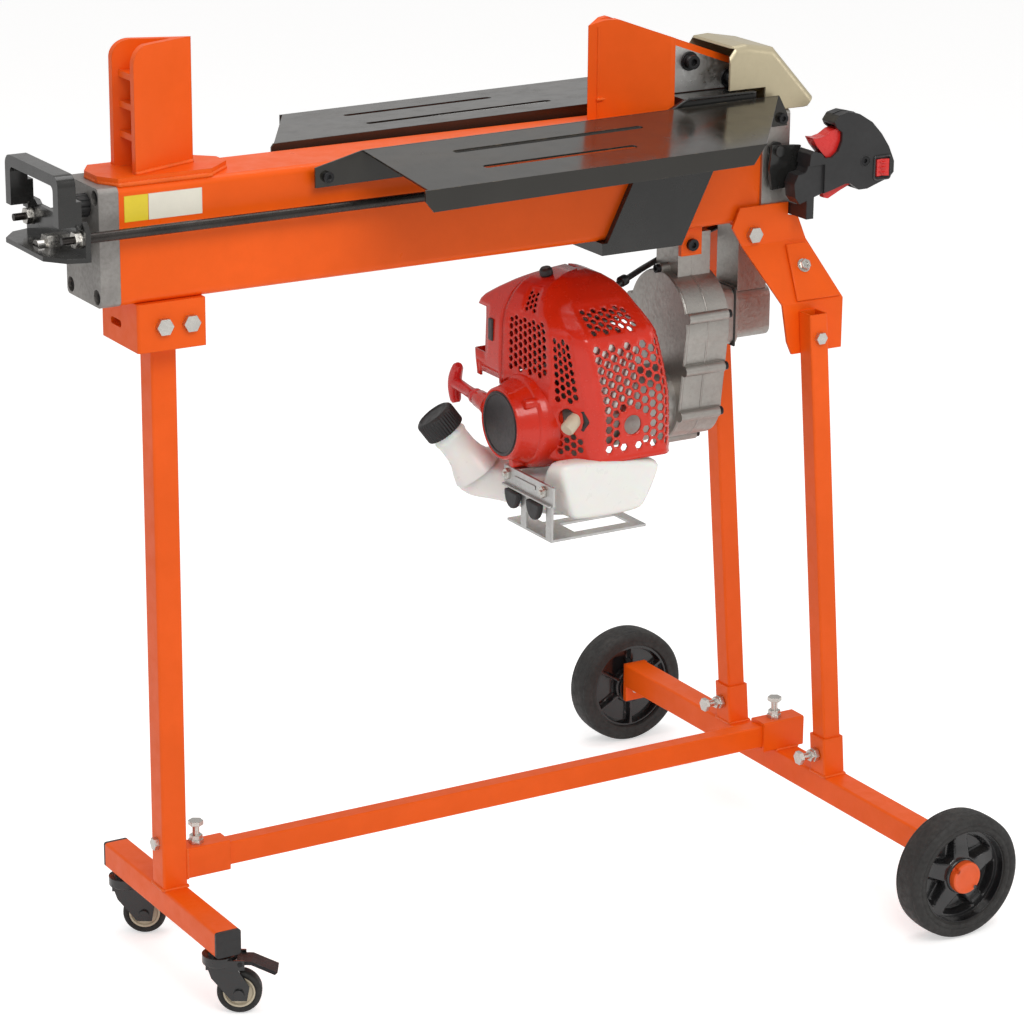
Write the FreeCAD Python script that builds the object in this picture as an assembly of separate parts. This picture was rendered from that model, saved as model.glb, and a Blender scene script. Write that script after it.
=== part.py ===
import FreeCAD, Part
import math
import os
from FreeCAD import Vector

# Horizontal log splitter on two wheels and two casters, in millimetres.
# Z is up and the ground is z = 0. The beam runs along X: the front (end cap, casters) is at
# low x, the rear (valve block, wheels) at high x. The near side is -Y, the far side +Y.
# SHIFT_X is applied on export.

os.makedirs("parts", exist_ok=True)

# ---------------------------------------------------------------- driving dimensions
SHIFT_X = -285.3                     # centres the machine on the origin
FIT = 0.05                           # radial running clearance
NEAR, FAR = -1, 1
SIDES = (NEAR, FAR)

BEAM_FRONT, BEAM_REAR = -154.0, 653.0
BEAM_HALF = 86.0 / 2                 # half width
BEAM_BOTTOM = 791.0
BEAM_TOP = BEAM_BOTTOM + 128.0
CAP_FRONT = BEAM_FRONT - 23.0
VALVE_REAR = 690.0
VALVE_HALF = 47.0
END_BOLTS = [(y, z) for z in (BEAM_BOTTOM + 11, BEAM_TOP - 11)
             for y in (10 - BEAM_HALF, BEAM_HALF - 10)]          # y, z
END_BOLT_R = 3.0
PLUG_Y, PLUG_Z = -12, 897            # breather plug on the end cap
LEVER_X, LEVER_Z = 669.0, 874.0      # valve lever pivot
TAB_X, TAB_Y, TAB_BOLT_Z = 570.0, 26, 770    # tabs under the beam for the gearbox

ROD_Z = 855.0                        # axis of the hydraulic cylinder
CYL_R, BORE_R, ROD_R = 36.0, 32.5, 14.0
CYL_LENGTH = 560
ROD_STUD_R = 8.0
OIL_R = 6
PLATE_FRONT, PLATE_REAR = -207, -201         # cross plate in front of the end cap
TIE_Y, TIE_Z, TIE_R = 62.0, 874.0, 5.5
TIE_STUD_R = TIE_R - 1.5

FRAME_TUBE = 30.0                    # square tube of the front leg and crossbar
LEG_FRONT = -108.0
LEG_REAR = LEG_FRONT + FRAME_TUBE
CROSS_HALF = 142.6
BAR_TOP = 104.0
BAR_BOTTOM = BAR_TOP - FRAME_TUBE
FRONT_BOLTS_X, FRONT_BOLT_Z, FRAME_BOLT_R = (-107.5, -76.0), 765, 5.0
CASTER_X, CASTER_Y = LEG_FRONT + FRAME_TUBE / 2, 122.0

AXLE_FRONT, AXLE_REAR = 722.7, 722.7 + 31.8
AXLE_TOP = 110.5
AXLE_BOTTOM = AXLE_TOP - 31.8
AXLE_HALF = 331.0
WHEEL_X, WHEEL_Y, WHEEL_R, WHEEL_W = 738.6, 358, 75.0, 40.6
WHEEL_BOLT_R = 6.0
REAR_LEG_X, REAR_LEG_Y, REAR_LEG_W = 724.0, 102.6, 24.4
LEG_LEAN = 0.077                     # step forward of the rear legs per mm of height

CRANK_Z, PUMP_Z = 582.0, 676.0       # heights of the crankshaft and the pump shaft
CRANK_R, PUMP_SHAFT_R = 10, 8.0

ALONG_X, ALONG_Y, ALONG_Z = Vector(1, 0, 0), Vector(0, 1, 0), Vector(0, 0, 1)
FORWARD = Vector(-1, 0, 0)


# ---------------------------------------------------------------- helpers
def unit(x, y, z):
    direction = Vector(x, y, z)
    direction.normalize()
    return direction


def span(side, inner, outer):
    """Ordered y range of a piece lying between two distances from the centre plane."""
    return sorted((side * inner, side * outer))


def box(x0, x1, y0, y1, z0, z1):
    return Part.makeBox(x1 - x0, y1 - y0, z1 - z0, Vector(x0, y0, z0))


def cylinder(point, direction, radius, length):
    return Part.makeCylinder(radius, length, Vector(*point), Vector(*direction))


def cone(point, direction, radius0, radius1, length):
    return Part.makeCone(radius0, radius1, length, Vector(*point), Vector(*direction))


def polygon_face(points):
    corners = [Vector(*point) for point in points]
    return Part.Face(Part.makePolygon(corners + corners[:1]))


def prism(points, travel):
    return polygon_face(points).extrude(Vector(*travel))


def prism_xz(points, y0, y1):
    return prism([(x, y0, z) for x, z in points], (0, y1 - y0, 0))


def prism_xy(points, z0, z1):
    return prism([(x, y, z0) for x, y in points], (0, 0, z1 - z0))


def prism_yz(points, x0, x1):
    return prism([(x0, y, z) for y, z in points], (x1 - x0, 0, 0))


def fuse(shape, *others):
    for other in others:
        shape = shape.fuse(other)
    return shape.removeSplitter()


def cut(shape, *tools):
    for tool in tools:
        shape = shape.cut(tool)
    return shape


def group(*shapes):
    return Part.makeCompound(list(shapes))


def largest_solid(shape):
    return max(shape.Solids, key=lambda solid: solid.Volume)


def fillet(shape, radius, is_wanted):
    edges = [edge for edge in shape.Edges if is_wanted(edge)]
    if not edges:
        return shape
    # Guards fillets the kernel refuses or spoils: the sharp shape is kept then.
    try:
        rounded = shape.makeFillet(radius, edges)
        good = rounded.isValid() and rounded.Volume > 0.5 * shape.Volume
        return rounded if good else shape
    except Exception:
        return shape


def is_along(edge, axis):
    if len(edge.Vertexes) != 2:
        return False
    chord = edge.Vertexes[1].Point.sub(edge.Vertexes[0].Point)
    if chord.Length < 1e-6:
        return False
    return abs(abs(chord.dot(axis)) / chord.Length - 1) < 1e-6


def rounded_box(x0, x1, y0, y1, z0, z1, radius, axis):
    """Box with the edges along one axis rounded."""
    return fillet(box(x0, x1, y0, y1, z0, z1), radius, lambda edge: is_along(edge, axis))


def rounded_tube(x0, x1, y0, y1, z0, z1, radius, axis, wall):
    """Rounded box opened along its axis; the bore overshoots both ends by 1."""
    dx, dy, dz = (-1 if part else wall for part in (axis.x, axis.y, axis.z))
    bore = rounded_box(x0 + dx, x1 - dx, y0 + dy, y1 - dy, z0 + dz, z1 - dz,
                       max(radius - wall, 0.4), axis)
    return rounded_box(x0, x1, y0, y1, z0, z1, radius, axis).cut(bore)


def hex_bolt(point, direction, radius, flats, head, length):
    """Hex head standing off the point along the direction, shank going the other way."""
    point, direction = Vector(*point), Vector(*direction)
    across = ALONG_Z if abs(direction.z) < 0.9 else ALONG_X
    across = across.sub(direction * across.dot(direction))
    across.normalize()
    other = direction.cross(across)
    corner_r = flats / math.sqrt(3)
    corners = []
    for k in range(6):
        angle = math.radians(60 * k + 30)
        corners.append(point + across * (corner_r * math.cos(angle))
                       + other * (corner_r * math.sin(angle)))
    return fuse(prism(corners, direction * head),
                cylinder(point, direction * -1, radius, length))


def cap_screw(point, direction, radius, head_radius, head, length):
    """Socket head standing off the point along the direction, shank the other way."""
    point, direction = Vector(*point), Vector(*direction)
    screw = fuse(cylinder(point, direction, head_radius, head),
                 cylinder(point, direction * -1, radius, length))
    return screw.cut(cylinder(point + direction * (head * 0.45), direction,
                              head_radius * 0.5, head * 0.55))


# ---------------------------------------------------------------- beam and its end pieces
def beam_tank():
    """Hollow beam, also the oil tank, with a ring in each end and two tabs below."""
    beam = rounded_tube(BEAM_FRONT, BEAM_REAR, -BEAM_HALF, BEAM_HALF, BEAM_BOTTOM, BEAM_TOP,
                        8.0, ALONG_X, 5.0)
    ring, inset = 14, 4
    rings = []
    for x0 in (BEAM_FRONT, BEAM_REAR - ring):
        plate = box(x0, x0 + ring, inset - BEAM_HALF, BEAM_HALF - inset,
                    BEAM_BOTTOM + inset, BEAM_TOP - inset)
        rings.append(plate.cut(cylinder((x0 - 1, 0, ROD_Z), ALONG_X, CYL_R, 20)))
    beam = fuse(beam, *rings)
    for y, z in END_BOLTS:
        beam = beam.cut(cylinder((BEAM_FRONT - 1, y, z), ALONG_X, END_BOLT_R, 13))
        beam = beam.cut(cylinder((BEAM_REAR + 1, y, z), FORWARD, END_BOLT_R, 13))
    tabs = [box(TAB_X - 14, TAB_X + 14, side * TAB_Y - 3, side * TAB_Y + 3, 757, BEAM_BOTTOM)
            for side in SIDES]
    beam = fuse(beam, *tabs)
    return cut(beam, *[cylinder((TAB_X, side * TAB_Y - 5, TAB_BOLT_Z), ALONG_Y, 4.0, 10)
                       for side in SIDES])


def front_end_cap():
    cap = rounded_box(CAP_FRONT, BEAM_FRONT, -BEAM_HALF, BEAM_HALF, BEAM_BOTTOM, BEAM_TOP,
                      6, ALONG_X)
    depth = BEAM_FRONT - CAP_FRONT
    cap = cap.cut(cylinder((CAP_FRONT - 1, 0, ROD_Z), ALONG_X, ROD_R + FIT, depth + 2))
    for y, z in END_BOLTS:
        start = (CAP_FRONT - 1, y, z)
        cap = cap.cut(cylinder(start, ALONG_X, 8.2, 11))
        cap = cap.cut(cylinder(start, ALONG_X, END_BOLT_R, depth + 2))
    boss = cylinder((CAP_FRONT - 5, 0, ROD_Z), ALONG_X, 22, 6)
    boss = boss.cut(cylinder((CAP_FRONT - 6, 0, ROD_Z), ALONG_X, ROD_R + FIT, 9))
    cap = fuse(cap, boss)
    return cap.cut(cylinder((CAP_FRONT - 1, PLUG_Y, PLUG_Z), ALONG_X, 6.0, 13))


def breather_plug():
    """Serrated knob with a stem in the end cap."""
    knob, notches, notch_pitch_r = 13, 12, 13.6
    plug = cylinder((CAP_FRONT - knob, PLUG_Y, PLUG_Z), ALONG_X, 12.5, knob)
    for k in range(notches):
        angle = 2 * math.pi * k / notches
        y = PLUG_Y + notch_pitch_r * math.cos(angle)
        z = PLUG_Z + notch_pitch_r * math.sin(angle)
        plug = plug.cut(cylinder((CAP_FRONT - knob - 1, y, z), ALONG_X, 2.2, knob + 2))
    return fuse(plug, cylinder((CAP_FRONT - 0.5, PLUG_Y, PLUG_Z), ALONG_X, 6.0, 12))


def rear_valve_block():
    block = rounded_box(BEAM_REAR, VALVE_REAR, -VALVE_HALF, VALVE_HALF,
                        BEAM_BOTTOM + 6, BEAM_TOP, 5, ALONG_X)
    for radius, depth in ((END_BOLT_R, 60), (6.2, 8)):
        for y, z in END_BOLTS:
            block = block.cut(cylinder((VALVE_REAR + 1, y, z), FORWARD, radius, depth))
    # bore for the lever pivot, then the oil gallery into the cylinder
    block = block.cut(cylinder((LEVER_X, -48, LEVER_Z), ALONG_Y, 7.0 + FIT, 50))
    return block.cut(cylinder((BEAM_REAR - 1, 0, ROD_Z), ALONG_X, OIL_R, 20))


# ---------------------------------------------------------------- hydraulic cylinder
def cylinder_tube():
    """Cylinder inside the beam, closed at the rear, with an oil pipe to the valve block."""
    end = BEAM_FRONT + CYL_LENGTH
    wall = 12                        # thickness of both end walls
    tube = cylinder((BEAM_FRONT, 0, ROD_Z), ALONG_X, CYL_R, CYL_LENGTH)
    tube = tube.cut(cylinder((BEAM_FRONT + wall, 0, ROD_Z), ALONG_X, BORE_R, CYL_LENGTH))
    tube = tube.cut(cylinder((BEAM_FRONT - 1, 0, ROD_Z), ALONG_X, ROD_R + FIT, 20))
    back = cylinder((end - wall, 0, ROD_Z), ALONG_X, BORE_R, wall)
    back = back.cut(cylinder((end - 20, 0, ROD_Z), ALONG_X, OIL_R, 40))
    pipe = cylinder((end, 0, ROD_Z), ALONG_X, 9, BEAM_REAR - end)
    pipe = pipe.cut(cylinder((end - 10, 0, ROD_Z), ALONG_X, OIL_R, 400))
    return fuse(tube, back, pipe)


def piston_rod():
    """Rod with a front stud through the cross plate and a piston with three grooves."""
    piston_x = BEAM_FRONT + 503
    rod = fuse(cylinder((PLATE_FRONT - 23, 0, ROD_Z), ALONG_X, ROD_STUD_R, 24),
               cylinder((PLATE_REAR, 0, ROD_Z), ALONG_X, ROD_R, piston_x - PLATE_REAR),
               cylinder((PLATE_FRONT + 0.5, 0, ROD_Z), ALONG_X, ROD_STUD_R, 8))
    piston = cylinder((piston_x, 0, ROD_Z), ALONG_X, BORE_R - FIT, 40)
    for offset in (8, 20, 30):
        start = (piston_x + offset, 0, ROD_Z)
        groove = cylinder(start, ALONG_X, BORE_R + 1, 3)
        piston = piston.cut(groove.cut(cylinder(start, ALONG_X, BORE_R - 2.5, 3)))
    return fuse(rod, piston)


# ---------------------------------------------------------------- wedge
def splitting_wedge():
    """Hollow V with its edge to the rear and ribs inside, on an eight-sided base plate."""
    edge_x, back_x, half = -47.0, -128.0, 31.0
    bottom, top = 927.0, 1061.0
    plate = 8.0
    angle = math.atan2(half, edge_x - back_x)
    tip_inset = plate / math.sin(angle)
    hollow_half = half - plate / math.cos(angle) + plate * half / (edge_x - back_x)
    outer = prism_xy([(edge_x, 0), (back_x, half), (back_x, -half)], bottom, top)
    hollow = prism_xy([(edge_x - tip_inset, 0), (back_x - plate, hollow_half),
                       (back_x - plate, -hollow_half)], bottom - 1, top + 1)
    rib_tip, rib_back = edge_x - tip_inset + 4, back_x + 6
    ribs = [prism_xy([(rib_tip, 0.9), (rib_back, 21.5), (rib_back, -21.5), (rib_tip, -0.9)],
                     z, z + 7) for z in (958, 990, 1022)]
    wedge = fuse(outer.cut(hollow), *ribs)
    # round the top front corner
    corner_r = 20
    corner = box(back_x - 1, back_x + corner_r, -60, 60, top - corner_r, top + 1)
    corner = corner.cut(cylinder((back_x + corner_r, -60, top - corner_r),
                                 ALONG_Y, corner_r, 120))
    wedge = wedge.cut(corner)
    base_half = BEAM_HALF - 4
    base = prism_xy([(-166, -16), (-152, -base_half), (-44, -base_half), (-14, -12),
                     (-14, 12), (-44, base_half), (-152, base_half), (-166, 16)],
                    BEAM_TOP, bottom)
    return fuse(wedge, base)


# ---------------------------------------------------------------- front leg and rail
def front_bolt_holes():
    return [cylinder((x, -50, FRONT_BOLT_Z), ALONG_Y, FRAME_BOLT_R, 100)
            for x in FRONT_BOLTS_X]


def front_leg_bracket():
    """Folded sheet box under the beam, open below and to the rear."""
    front, rear, bottom, half, sheet = -137.0, -58.0, 738.0, 46, 4
    bracket = box(front, rear, -half, half, bottom, BEAM_BOTTOM)
    bracket = bracket.cut(box(front + sheet, rear + 1, sheet - half, half - sheet,
                              bottom - 1, BEAM_BOTTOM - sheet))
    bracket = bracket.cut(rounded_box(front - 1, front + 5, -4, 22, 757, 765, 3.5, ALONG_X))
    bracket = cut(bracket, *front_bolt_holes())
    return fillet(bracket, 3.5, lambda edge: is_along(edge, ALONG_Z)
                  and edge.BoundBox.XMin < front + 0.1
                  and abs(abs(edge.BoundBox.YMin) - half) < 0.1)


def front_foot_frame():
    """Leg, head, crossbar and rail sleeve, welded."""
    leg = rounded_tube(LEG_FRONT, LEG_REAR, -FRAME_TUBE / 2, FRAME_TUBE / 2, BAR_TOP, 742.0,
                       3, ALONG_Z, 2)
    head = box(-122, -62, -41.9, 41.9, 742, 786.9).cut(box(-123, -61, -38, 38, 745, 783))
    bar = rounded_tube(LEG_FRONT, LEG_REAR, -CROSS_HALF, CROSS_HALF, BAR_BOTTOM, BAR_TOP,
                       3, ALONG_Y, 2)
    sleeve = rounded_box(LEG_REAR, -24.0, -14, 14, 112.0, 148.0, 2.5, ALONG_X)
    sleeve = sleeve.cut(box(LEG_REAR + 2, -20, -10.5, 10.5, 116.0, 144.2))
    frame = cut(fuse(leg, head, bar, sleeve), *front_bolt_holes())
    frame = frame.cut(cylinder((-60, 0, 140), ALONG_Z, 4.0, 15))
    frame = frame.cut(cylinder((LEG_FRONT - 1, 0, 157), ALONG_X, 4.0, 6))
    return cut(frame, *[cylinder((CASTER_X, side * CASTER_Y, 70), ALONG_Z, 5.0 + FIT, 12)
                        for side in SIDES])


def foot_plugs():
    """End plugs of the crossbar: a flush plate and a block inside the tube."""
    plugs = []
    inset = 2.7
    for side in SIDES:
        plate = rounded_box(LEG_FRONT, LEG_REAR, *span(side, CROSS_HALF, CROSS_HALF + 4),
                            BAR_BOTTOM, BAR_TOP, 3, ALONG_Y)
        block = box(LEG_FRONT + inset, LEG_REAR - inset,
                    *span(side, CROSS_HALF - 8, CROSS_HALF),
                    BAR_BOTTOM + inset, BAR_TOP - inset)
        plugs.append(fuse(plate, block))
    return group(*plugs)


def lower_rail():
    return rounded_tube(LEG_REAR + 2.0, 752.0, -10.4, 10.4, 116.2, 144.0, 2.5, ALONG_X, 2)


# ---------------------------------------------------------------- rear axle, legs, bracket
SLEEVE_FRONT = 721.4
SLEEVE_SCREW_Z = 137


def lean(z):
    """X offset at height z of a piece that leans with the rear legs."""
    return LEG_LEAN * (AXLE_TOP - z)


def leaning_box(x0, x1, y0, y1, z0, z1, radius=0):
    """Leaning upright piece; its x range is measured at the top of the axle beam."""
    post = prism_xz([(x0 + lean(z0), z0), (x1 + lean(z0), z0),
                     (x1 + lean(z1), z1), (x0 + lean(z1), z1)], y0, y1)
    if radius:
        post = fillet(post, radius, lambda edge: len(edge.Vertexes) == 2
                      and abs(edge.Vertexes[0].Z - edge.Vertexes[-1].Z) > 20)
    return post


LEG_BOLT_Z = 663
LEG_BOLT_X = REAR_LEG_X + lean(LEG_BOLT_Z) + REAR_LEG_W / 2
SADDLE_BOLT_X, SADDLE_BOLT_Z = 641, 778
SADDLE_Y, SADDLE_SHEET = 47.1, 3.0


def rear_axle_beam():
    """Square tube with wheel lugs, a rail socket and two leaning leg sleeves."""
    axle = rounded_tube(AXLE_FRONT, AXLE_REAR, -AXLE_HALF, AXLE_HALF, AXLE_BOTTOM, AXLE_TOP,
                        3, ALONG_Y, 2)
    lugs = []
    for side in SIDES:
        y0, y1 = span(side, AXLE_HALF, AXLE_HALF + 6)
        lug = box(AXLE_FRONT, AXLE_REAR, y0, y1, 60, AXLE_TOP)
        lugs.append(lug.cut(cylinder((WHEEL_X, y0 - 1, WHEEL_R), ALONG_Y, WHEEL_BOLT_R, 9)))
    socket = rounded_box(703, 762, -14, 14, AXLE_TOP, 148.5, 2.5, ALONG_X)
    socket = socket.cut(box(700, 754, -10.5, 10.5, 116.0, 144.2))
    socket = socket.cut(cylinder((727, 0, 140), ALONG_Z, 4.0, 10))
    sleeves = []
    for side in SIDES:
        y = side * REAR_LEG_Y
        sleeve = leaning_box(SLEEVE_FRONT, 751.0, y - 14.8, y + 14.8, AXLE_TOP, 160, 2.5)
        sleeve = sleeve.cut(leaning_box(723.9, 748.5, y - 12.3, y + 12.3, AXLE_TOP + 3, 170))
        sleeves.append(sleeve.cut(cylinder((715, y, SLEEVE_SCREW_Z), ALONG_X, 4.0, 12)))
    return fuse(axle, socket, *lugs, *sleeves)


def rear_leg(side):
    y, half, wall = side * REAR_LEG_Y, REAR_LEG_W / 2, 2
    x0, x1, top = REAR_LEG_X, REAR_LEG_X + REAR_LEG_W, 691.0
    leg = leaning_box(x0, x1, y - half, y + half, AXLE_TOP + 3.2, top, 2.5)
    leg = leg.cut(leaning_box(x0 + wall, x1 - wall, y - half + wall, y + half - wall,
                              AXLE_TOP - 5, top + 10))
    hole_start = min(side * 60, side * 200)
    return leg.cut(cylinder((LEG_BOLT_X, hole_start, LEG_BOLT_Z), ALONG_Y, 4.0, 140))


def far_bracket_side():
    """Upright sheet on the beam, a wing slanting outward and an upright sheet on the leg."""
    leg_y = REAR_LEG_Y - REAR_LEG_W / 2 - SADDLE_SHEET
    upper = prism_xz([(622, 811), (612, 788), (626, 765), (715, 765), (703, 793),
                      (689, 796), (689, 811)], SADDLE_Y, SADDLE_Y + SADDLE_SHEET)
    # The wing's four corners may be out of plane, so every face is two triangles.
    inner = [(626, SADDLE_Y, 765), (715, SADDLE_Y, 765), (742, leg_y, 700), (657, leg_y, 700)]
    outer = [(x, y + SADDLE_SHEET, z) for x, y, z in inner]
    quads = [inner, outer[::-1]]
    for k in range(4):
        following = (k + 1) % 4
        quads.append([inner[following], inner[k], outer[k], outer[following]])
    faces = []
    for quad in quads:
        faces.append(polygon_face(quad[:3]))
        faces.append(polygon_face([quad[0], quad[2], quad[3]]))
    wing = Part.makeSolid(Part.makeShell(faces))
    if wing.Volume < 0:
        wing.reverse()
    lower = prism_xz([(657, 700), (742, 700), (742, 640), (672, 640), (665, 655)],
                     leg_y, leg_y + SADDLE_SHEET)
    return fuse(upper, wing, lower)


def rear_bracket():
    """Folded sheet saddle under the rear end of the beam."""
    far_side = far_bracket_side()
    half = SADDLE_Y + SADDLE_SHEET
    bridge = box(622, 688, -half, half, 787.5, 790.9).cut(box(600, 660, -30, 30, 780, 795))
    bracket = fuse(far_side, far_side.mirror(Vector(0, 0, 0), ALONG_Y), bridge)
    for side in SIDES:
        bracket = bracket.cut(cylinder((SADDLE_BOLT_X, side * 49 - 10, SADDLE_BOLT_Z),
                                       ALONG_Y, FRAME_BOLT_R, 20))
        bracket = bracket.cut(cylinder((LEG_BOLT_X, side * 92 - 10, LEG_BOLT_Z),
                                       ALONG_Y, 4.0, 20))
    return bracket


# ---------------------------------------------------------------- frame fasteners
def hex_bolts():
    bolts = []
    for x in FRONT_BOLTS_X:
        bolts.append(fuse(
            hex_bolt((x, -46, FRONT_BOLT_Z), (0, -1, 0), FRAME_BOLT_R, 17, 6.5, 92),
            hex_bolt((x, 46, FRONT_BOLT_Z), (0, 1, 0), FRAME_BOLT_R, 17, 8, 10)))
    for side in SIDES:
        leg_face = side * (REAR_LEG_Y + REAR_LEG_W / 2)
        saddle_face = side * (SADDLE_Y + SADDLE_SHEET)
        bolts.append(hex_bolt((LEG_BOLT_X, leg_face, LEG_BOLT_Z), (0, side, 0),
                              4.0, 13, 5.5, 40))
        bolts.append(hex_bolt((SADDLE_BOLT_X, saddle_face, SADDLE_BOLT_Z), (0, side, 0),
                              FRAME_BOLT_R, 17, 6.5, 12))
    bolts.append(hex_bolt((LEG_FRONT, 0, 157), FORWARD, 4.0, 13, 5.5, 6))
    return group(*bolts)


def clamp_screw(point, direction, depth):
    """Shank with three hexes along it, reaching the given depth below the point."""
    point, radius = Vector(*point), 3.99
    return fuse(hex_bolt(point + direction * 4, direction, radius, 13, 6, 4 + depth),
                hex_bolt(point + direction * 22, direction, radius, 15, 5, 20),
                hex_bolt(point, direction, radius, 15, 5, 1))


def clamp_screws():
    screws = [clamp_screw((727, 0, 148.5), ALONG_Z, 4.3),
              clamp_screw((-60, 0, 148.0), ALONG_Z, 3.8)]
    x = SLEEVE_FRONT + lean(SLEEVE_SCREW_Z) - 1.2
    for side in SIDES:
        screws.append(clamp_screw((x, side * REAR_LEG_Y, SLEEVE_SCREW_Z), FORWARD, 2.0))
    return group(*screws)


# ---------------------------------------------------------------- wheels
def wheel_cylinder(side, start, end, radius):
    """Cylinder on the wheel axis between two distances from the centre plane."""
    return cylinder((WHEEL_X, side * start, WHEEL_R), (0, side, 0), radius, end - start)


def wheel_axle_bolts():
    """Axle pin, washer and hex head of each wheel."""
    return group(*[fuse(wheel_cylinder(side, AXLE_HALF, 377.5, WHEEL_BOLT_R),
                        wheel_cylinder(side, 370.6, 372.0, 12.0),
                        hex_bolt((WHEEL_X, side * 372.0, WHEEL_R), (0, side, 0),
                                 WHEEL_BOLT_R, 19, 4.5, 1)) for side in SIDES])


def wheel(side):
    def ring(outer_r, inner_r, start, end):
        return wheel_cylinder(side, start, end, outer_r).cut(
            wheel_cylinder(side, start - 1, end + 1, inner_r))

    inner_y, outer_y = WHEEL_Y - WHEEL_W / 2, WHEEL_Y + WHEEL_W / 2
    tyre = ring(WHEEL_R, 56, inner_y, outer_y)
    tyre = fillet(tyre, 5, lambda edge: edge.BoundBox.XLength > 149)
    rim = ring(56, 52, inner_y + 3, outer_y - 3)
    hub = ring(20, WHEEL_BOLT_R + FIT, inner_y + 0.8, outer_y - 8)
    web = ring(54, 18, WHEEL_Y - 6, WHEEL_Y)
    spokes = []
    for k in range(6):
        spoke = box(WHEEL_X - 3, WHEEL_X + 3, *span(side, 344, 370),
                    WHEEL_R + 16, WHEEL_R + 54)
        spoke.rotate(Vector(WHEEL_X, 0, WHEEL_R), ALONG_Y, 60 * k)
        spokes.append(spoke)
    return fuse(tyre, hub, rim, web, *spokes)


def hub_cap(side):
    start, end = 370.3, 370.3 + 9.5
    cap = wheel_cylinder(side, start, end, 19.5).cut(wheel_cylinder(side, 369, 378.5, 15))
    return fillet(cap, 2, lambda edge: edge.BoundBox.XLength > 38
                  and abs(abs(edge.BoundBox.YMin) - end) < 0.1)


# ---------------------------------------------------------------- casters
CASTER_WHEEL_R = 25.0
CASTER_AXLE_X = CASTER_X + 22.0      # the wheel trails behind the swivel
CASTER_AXLE_R = 4.0
PEDAL_Z, PEDAL_R = 62.1, 2.5         # pivot of the brake pedal


def swivel(shape, side):
    shape.rotate(Vector(CASTER_X, side * CASTER_Y, 0), ALONG_Z, -31.0)
    return shape


def caster_fork(side):
    x, y, axle_x = CASTER_X, side * CASTER_Y, CASTER_AXLE_X
    inner, outer = 10.2, 13.4        # faces of the fork arms
    stem = cylinder((x, y, 64), ALONG_Z, 5.0, 14)
    head = cylinder((x, y, 57), ALONG_Z, 19, 12)
    head = fillet(head, 3, lambda edge: edge.BoundBox.XLength > 37
                  and abs(edge.BoundBox.ZMin - 57) < 0.1)
    washer = cylinder((x, y, 69), ALONG_Z, 12, 4.95)
    outline = [(x - 14, 62), (x + 16, 62), (axle_x + 12, 34), (axle_x + 9, 17),
               (axle_x - 8, 17), (x - 8, 44)]
    arms = []
    for end in (-1, 1):
        y0, y1 = sorted((y + end * inner, y + end * outer))
        hole = cylinder((axle_x, y0 - 1, CASTER_WHEEL_R), ALONG_Y, CASTER_AXLE_R, 6)
        arms.append(prism_xz(outline, y0, y1).cut(hole))
    pin = cylinder((axle_x, y - 16.4, CASTER_WHEEL_R), ALONG_Y, CASTER_AXLE_R, 32.8)
    heads = [cylinder((axle_x, y + end * outer, CASTER_WHEEL_R), (0, end, 0), 6.0, 3.0)
             for end in (-1, 1)]
    bridge = box(x - 14, x + 16, y - outer, y + outer, 54, 62)
    bridge = bridge.cut(cylinder((axle_x, y - 20, CASTER_WHEEL_R), ALONG_Y, 27, 40))
    fork = fuse(head, washer, stem, bridge, *arms, pin, *heads)
    if side == NEAR:
        # ears that carry the brake pedal
        ears = [box(x + 4, x + 29, *sorted((y + end * outer, y + end * 16.4)), 55, 66.5)
                for end in (-1, 1)]
        fork = fuse(fork, *ears).cut(
            cylinder((x + 24, y - 20, PEDAL_Z), ALONG_Y, PEDAL_R + FIT, 40))
    return swivel(fork, side)


def caster_wheel(side):
    x, y, z = CASTER_AXLE_X, side * CASTER_Y, CASTER_WHEEL_R
    roller = cylinder((x, y - 9.0, z), ALONG_Y, CASTER_WHEEL_R, 18.0)
    roller = fillet(roller, 3, lambda edge: edge.BoundBox.XLength > 49)
    roller = roller.cut(cylinder((x, y - 10.5, z), ALONG_Y, CASTER_AXLE_R + FIT, 21))
    for end in (-1, 1):
        start = min(y + end * 9.5, y + end * 6.0)
        recess = cylinder((x, start, z), ALONG_Y, 17, 3.5)
        roller = roller.cut(recess.cut(cylinder((x, start - 1, z), ALONG_Y, 8, 6)))
    return swivel(roller, side)


def caster_brake():
    """Pedal on the near caster."""
    x, y = CASTER_AXLE_X, NEAR * CASTER_Y
    pedal = prism_xz([(x - 2, 60.2), (x + 14, 60.2), (x + 40, 48.5), (x + 43, 51.5),
                      (x + 15, 64.0), (x - 2, 64.0)], y - 13, y + 13)
    pedal = fuse(pedal, cylinder((x + 2, y - 17.0, PEDAL_Z), ALONG_Y, PEDAL_R, 34))
    return swivel(pedal, NEAR)


# ---------------------------------------------------------------- log trays
TRAY_Y, TRAY_OUTER_Y, TRAY_SHEET = 53.4, 206.0, 2.0
# per side: inner and outer edge height at x = 128, rise per mm of x,
# inner edge x0 and x1, outer edge x0 and x1, length of the flange in front of the panel
TRAYS = {
    NEAR: (931.5, 918.0, 0.013, 128.0, 668.0, 124.0, 548.0, 58.0),
    FAR: (924.0, 918.5, 0.012, 76.0, 668.0, 165.0, 664.0, 3.0),
}
TRAY_SLOTS = [(98, 215, 455), (157, 218, 410)]           # distance from centre, x0, x1
# x, z, y of the face the spacer stands on
TRAY_SCREWS = [(84.0, 907.0, BEAM_HALF), (672.0, 912.0, VALVE_HALF)]


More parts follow.
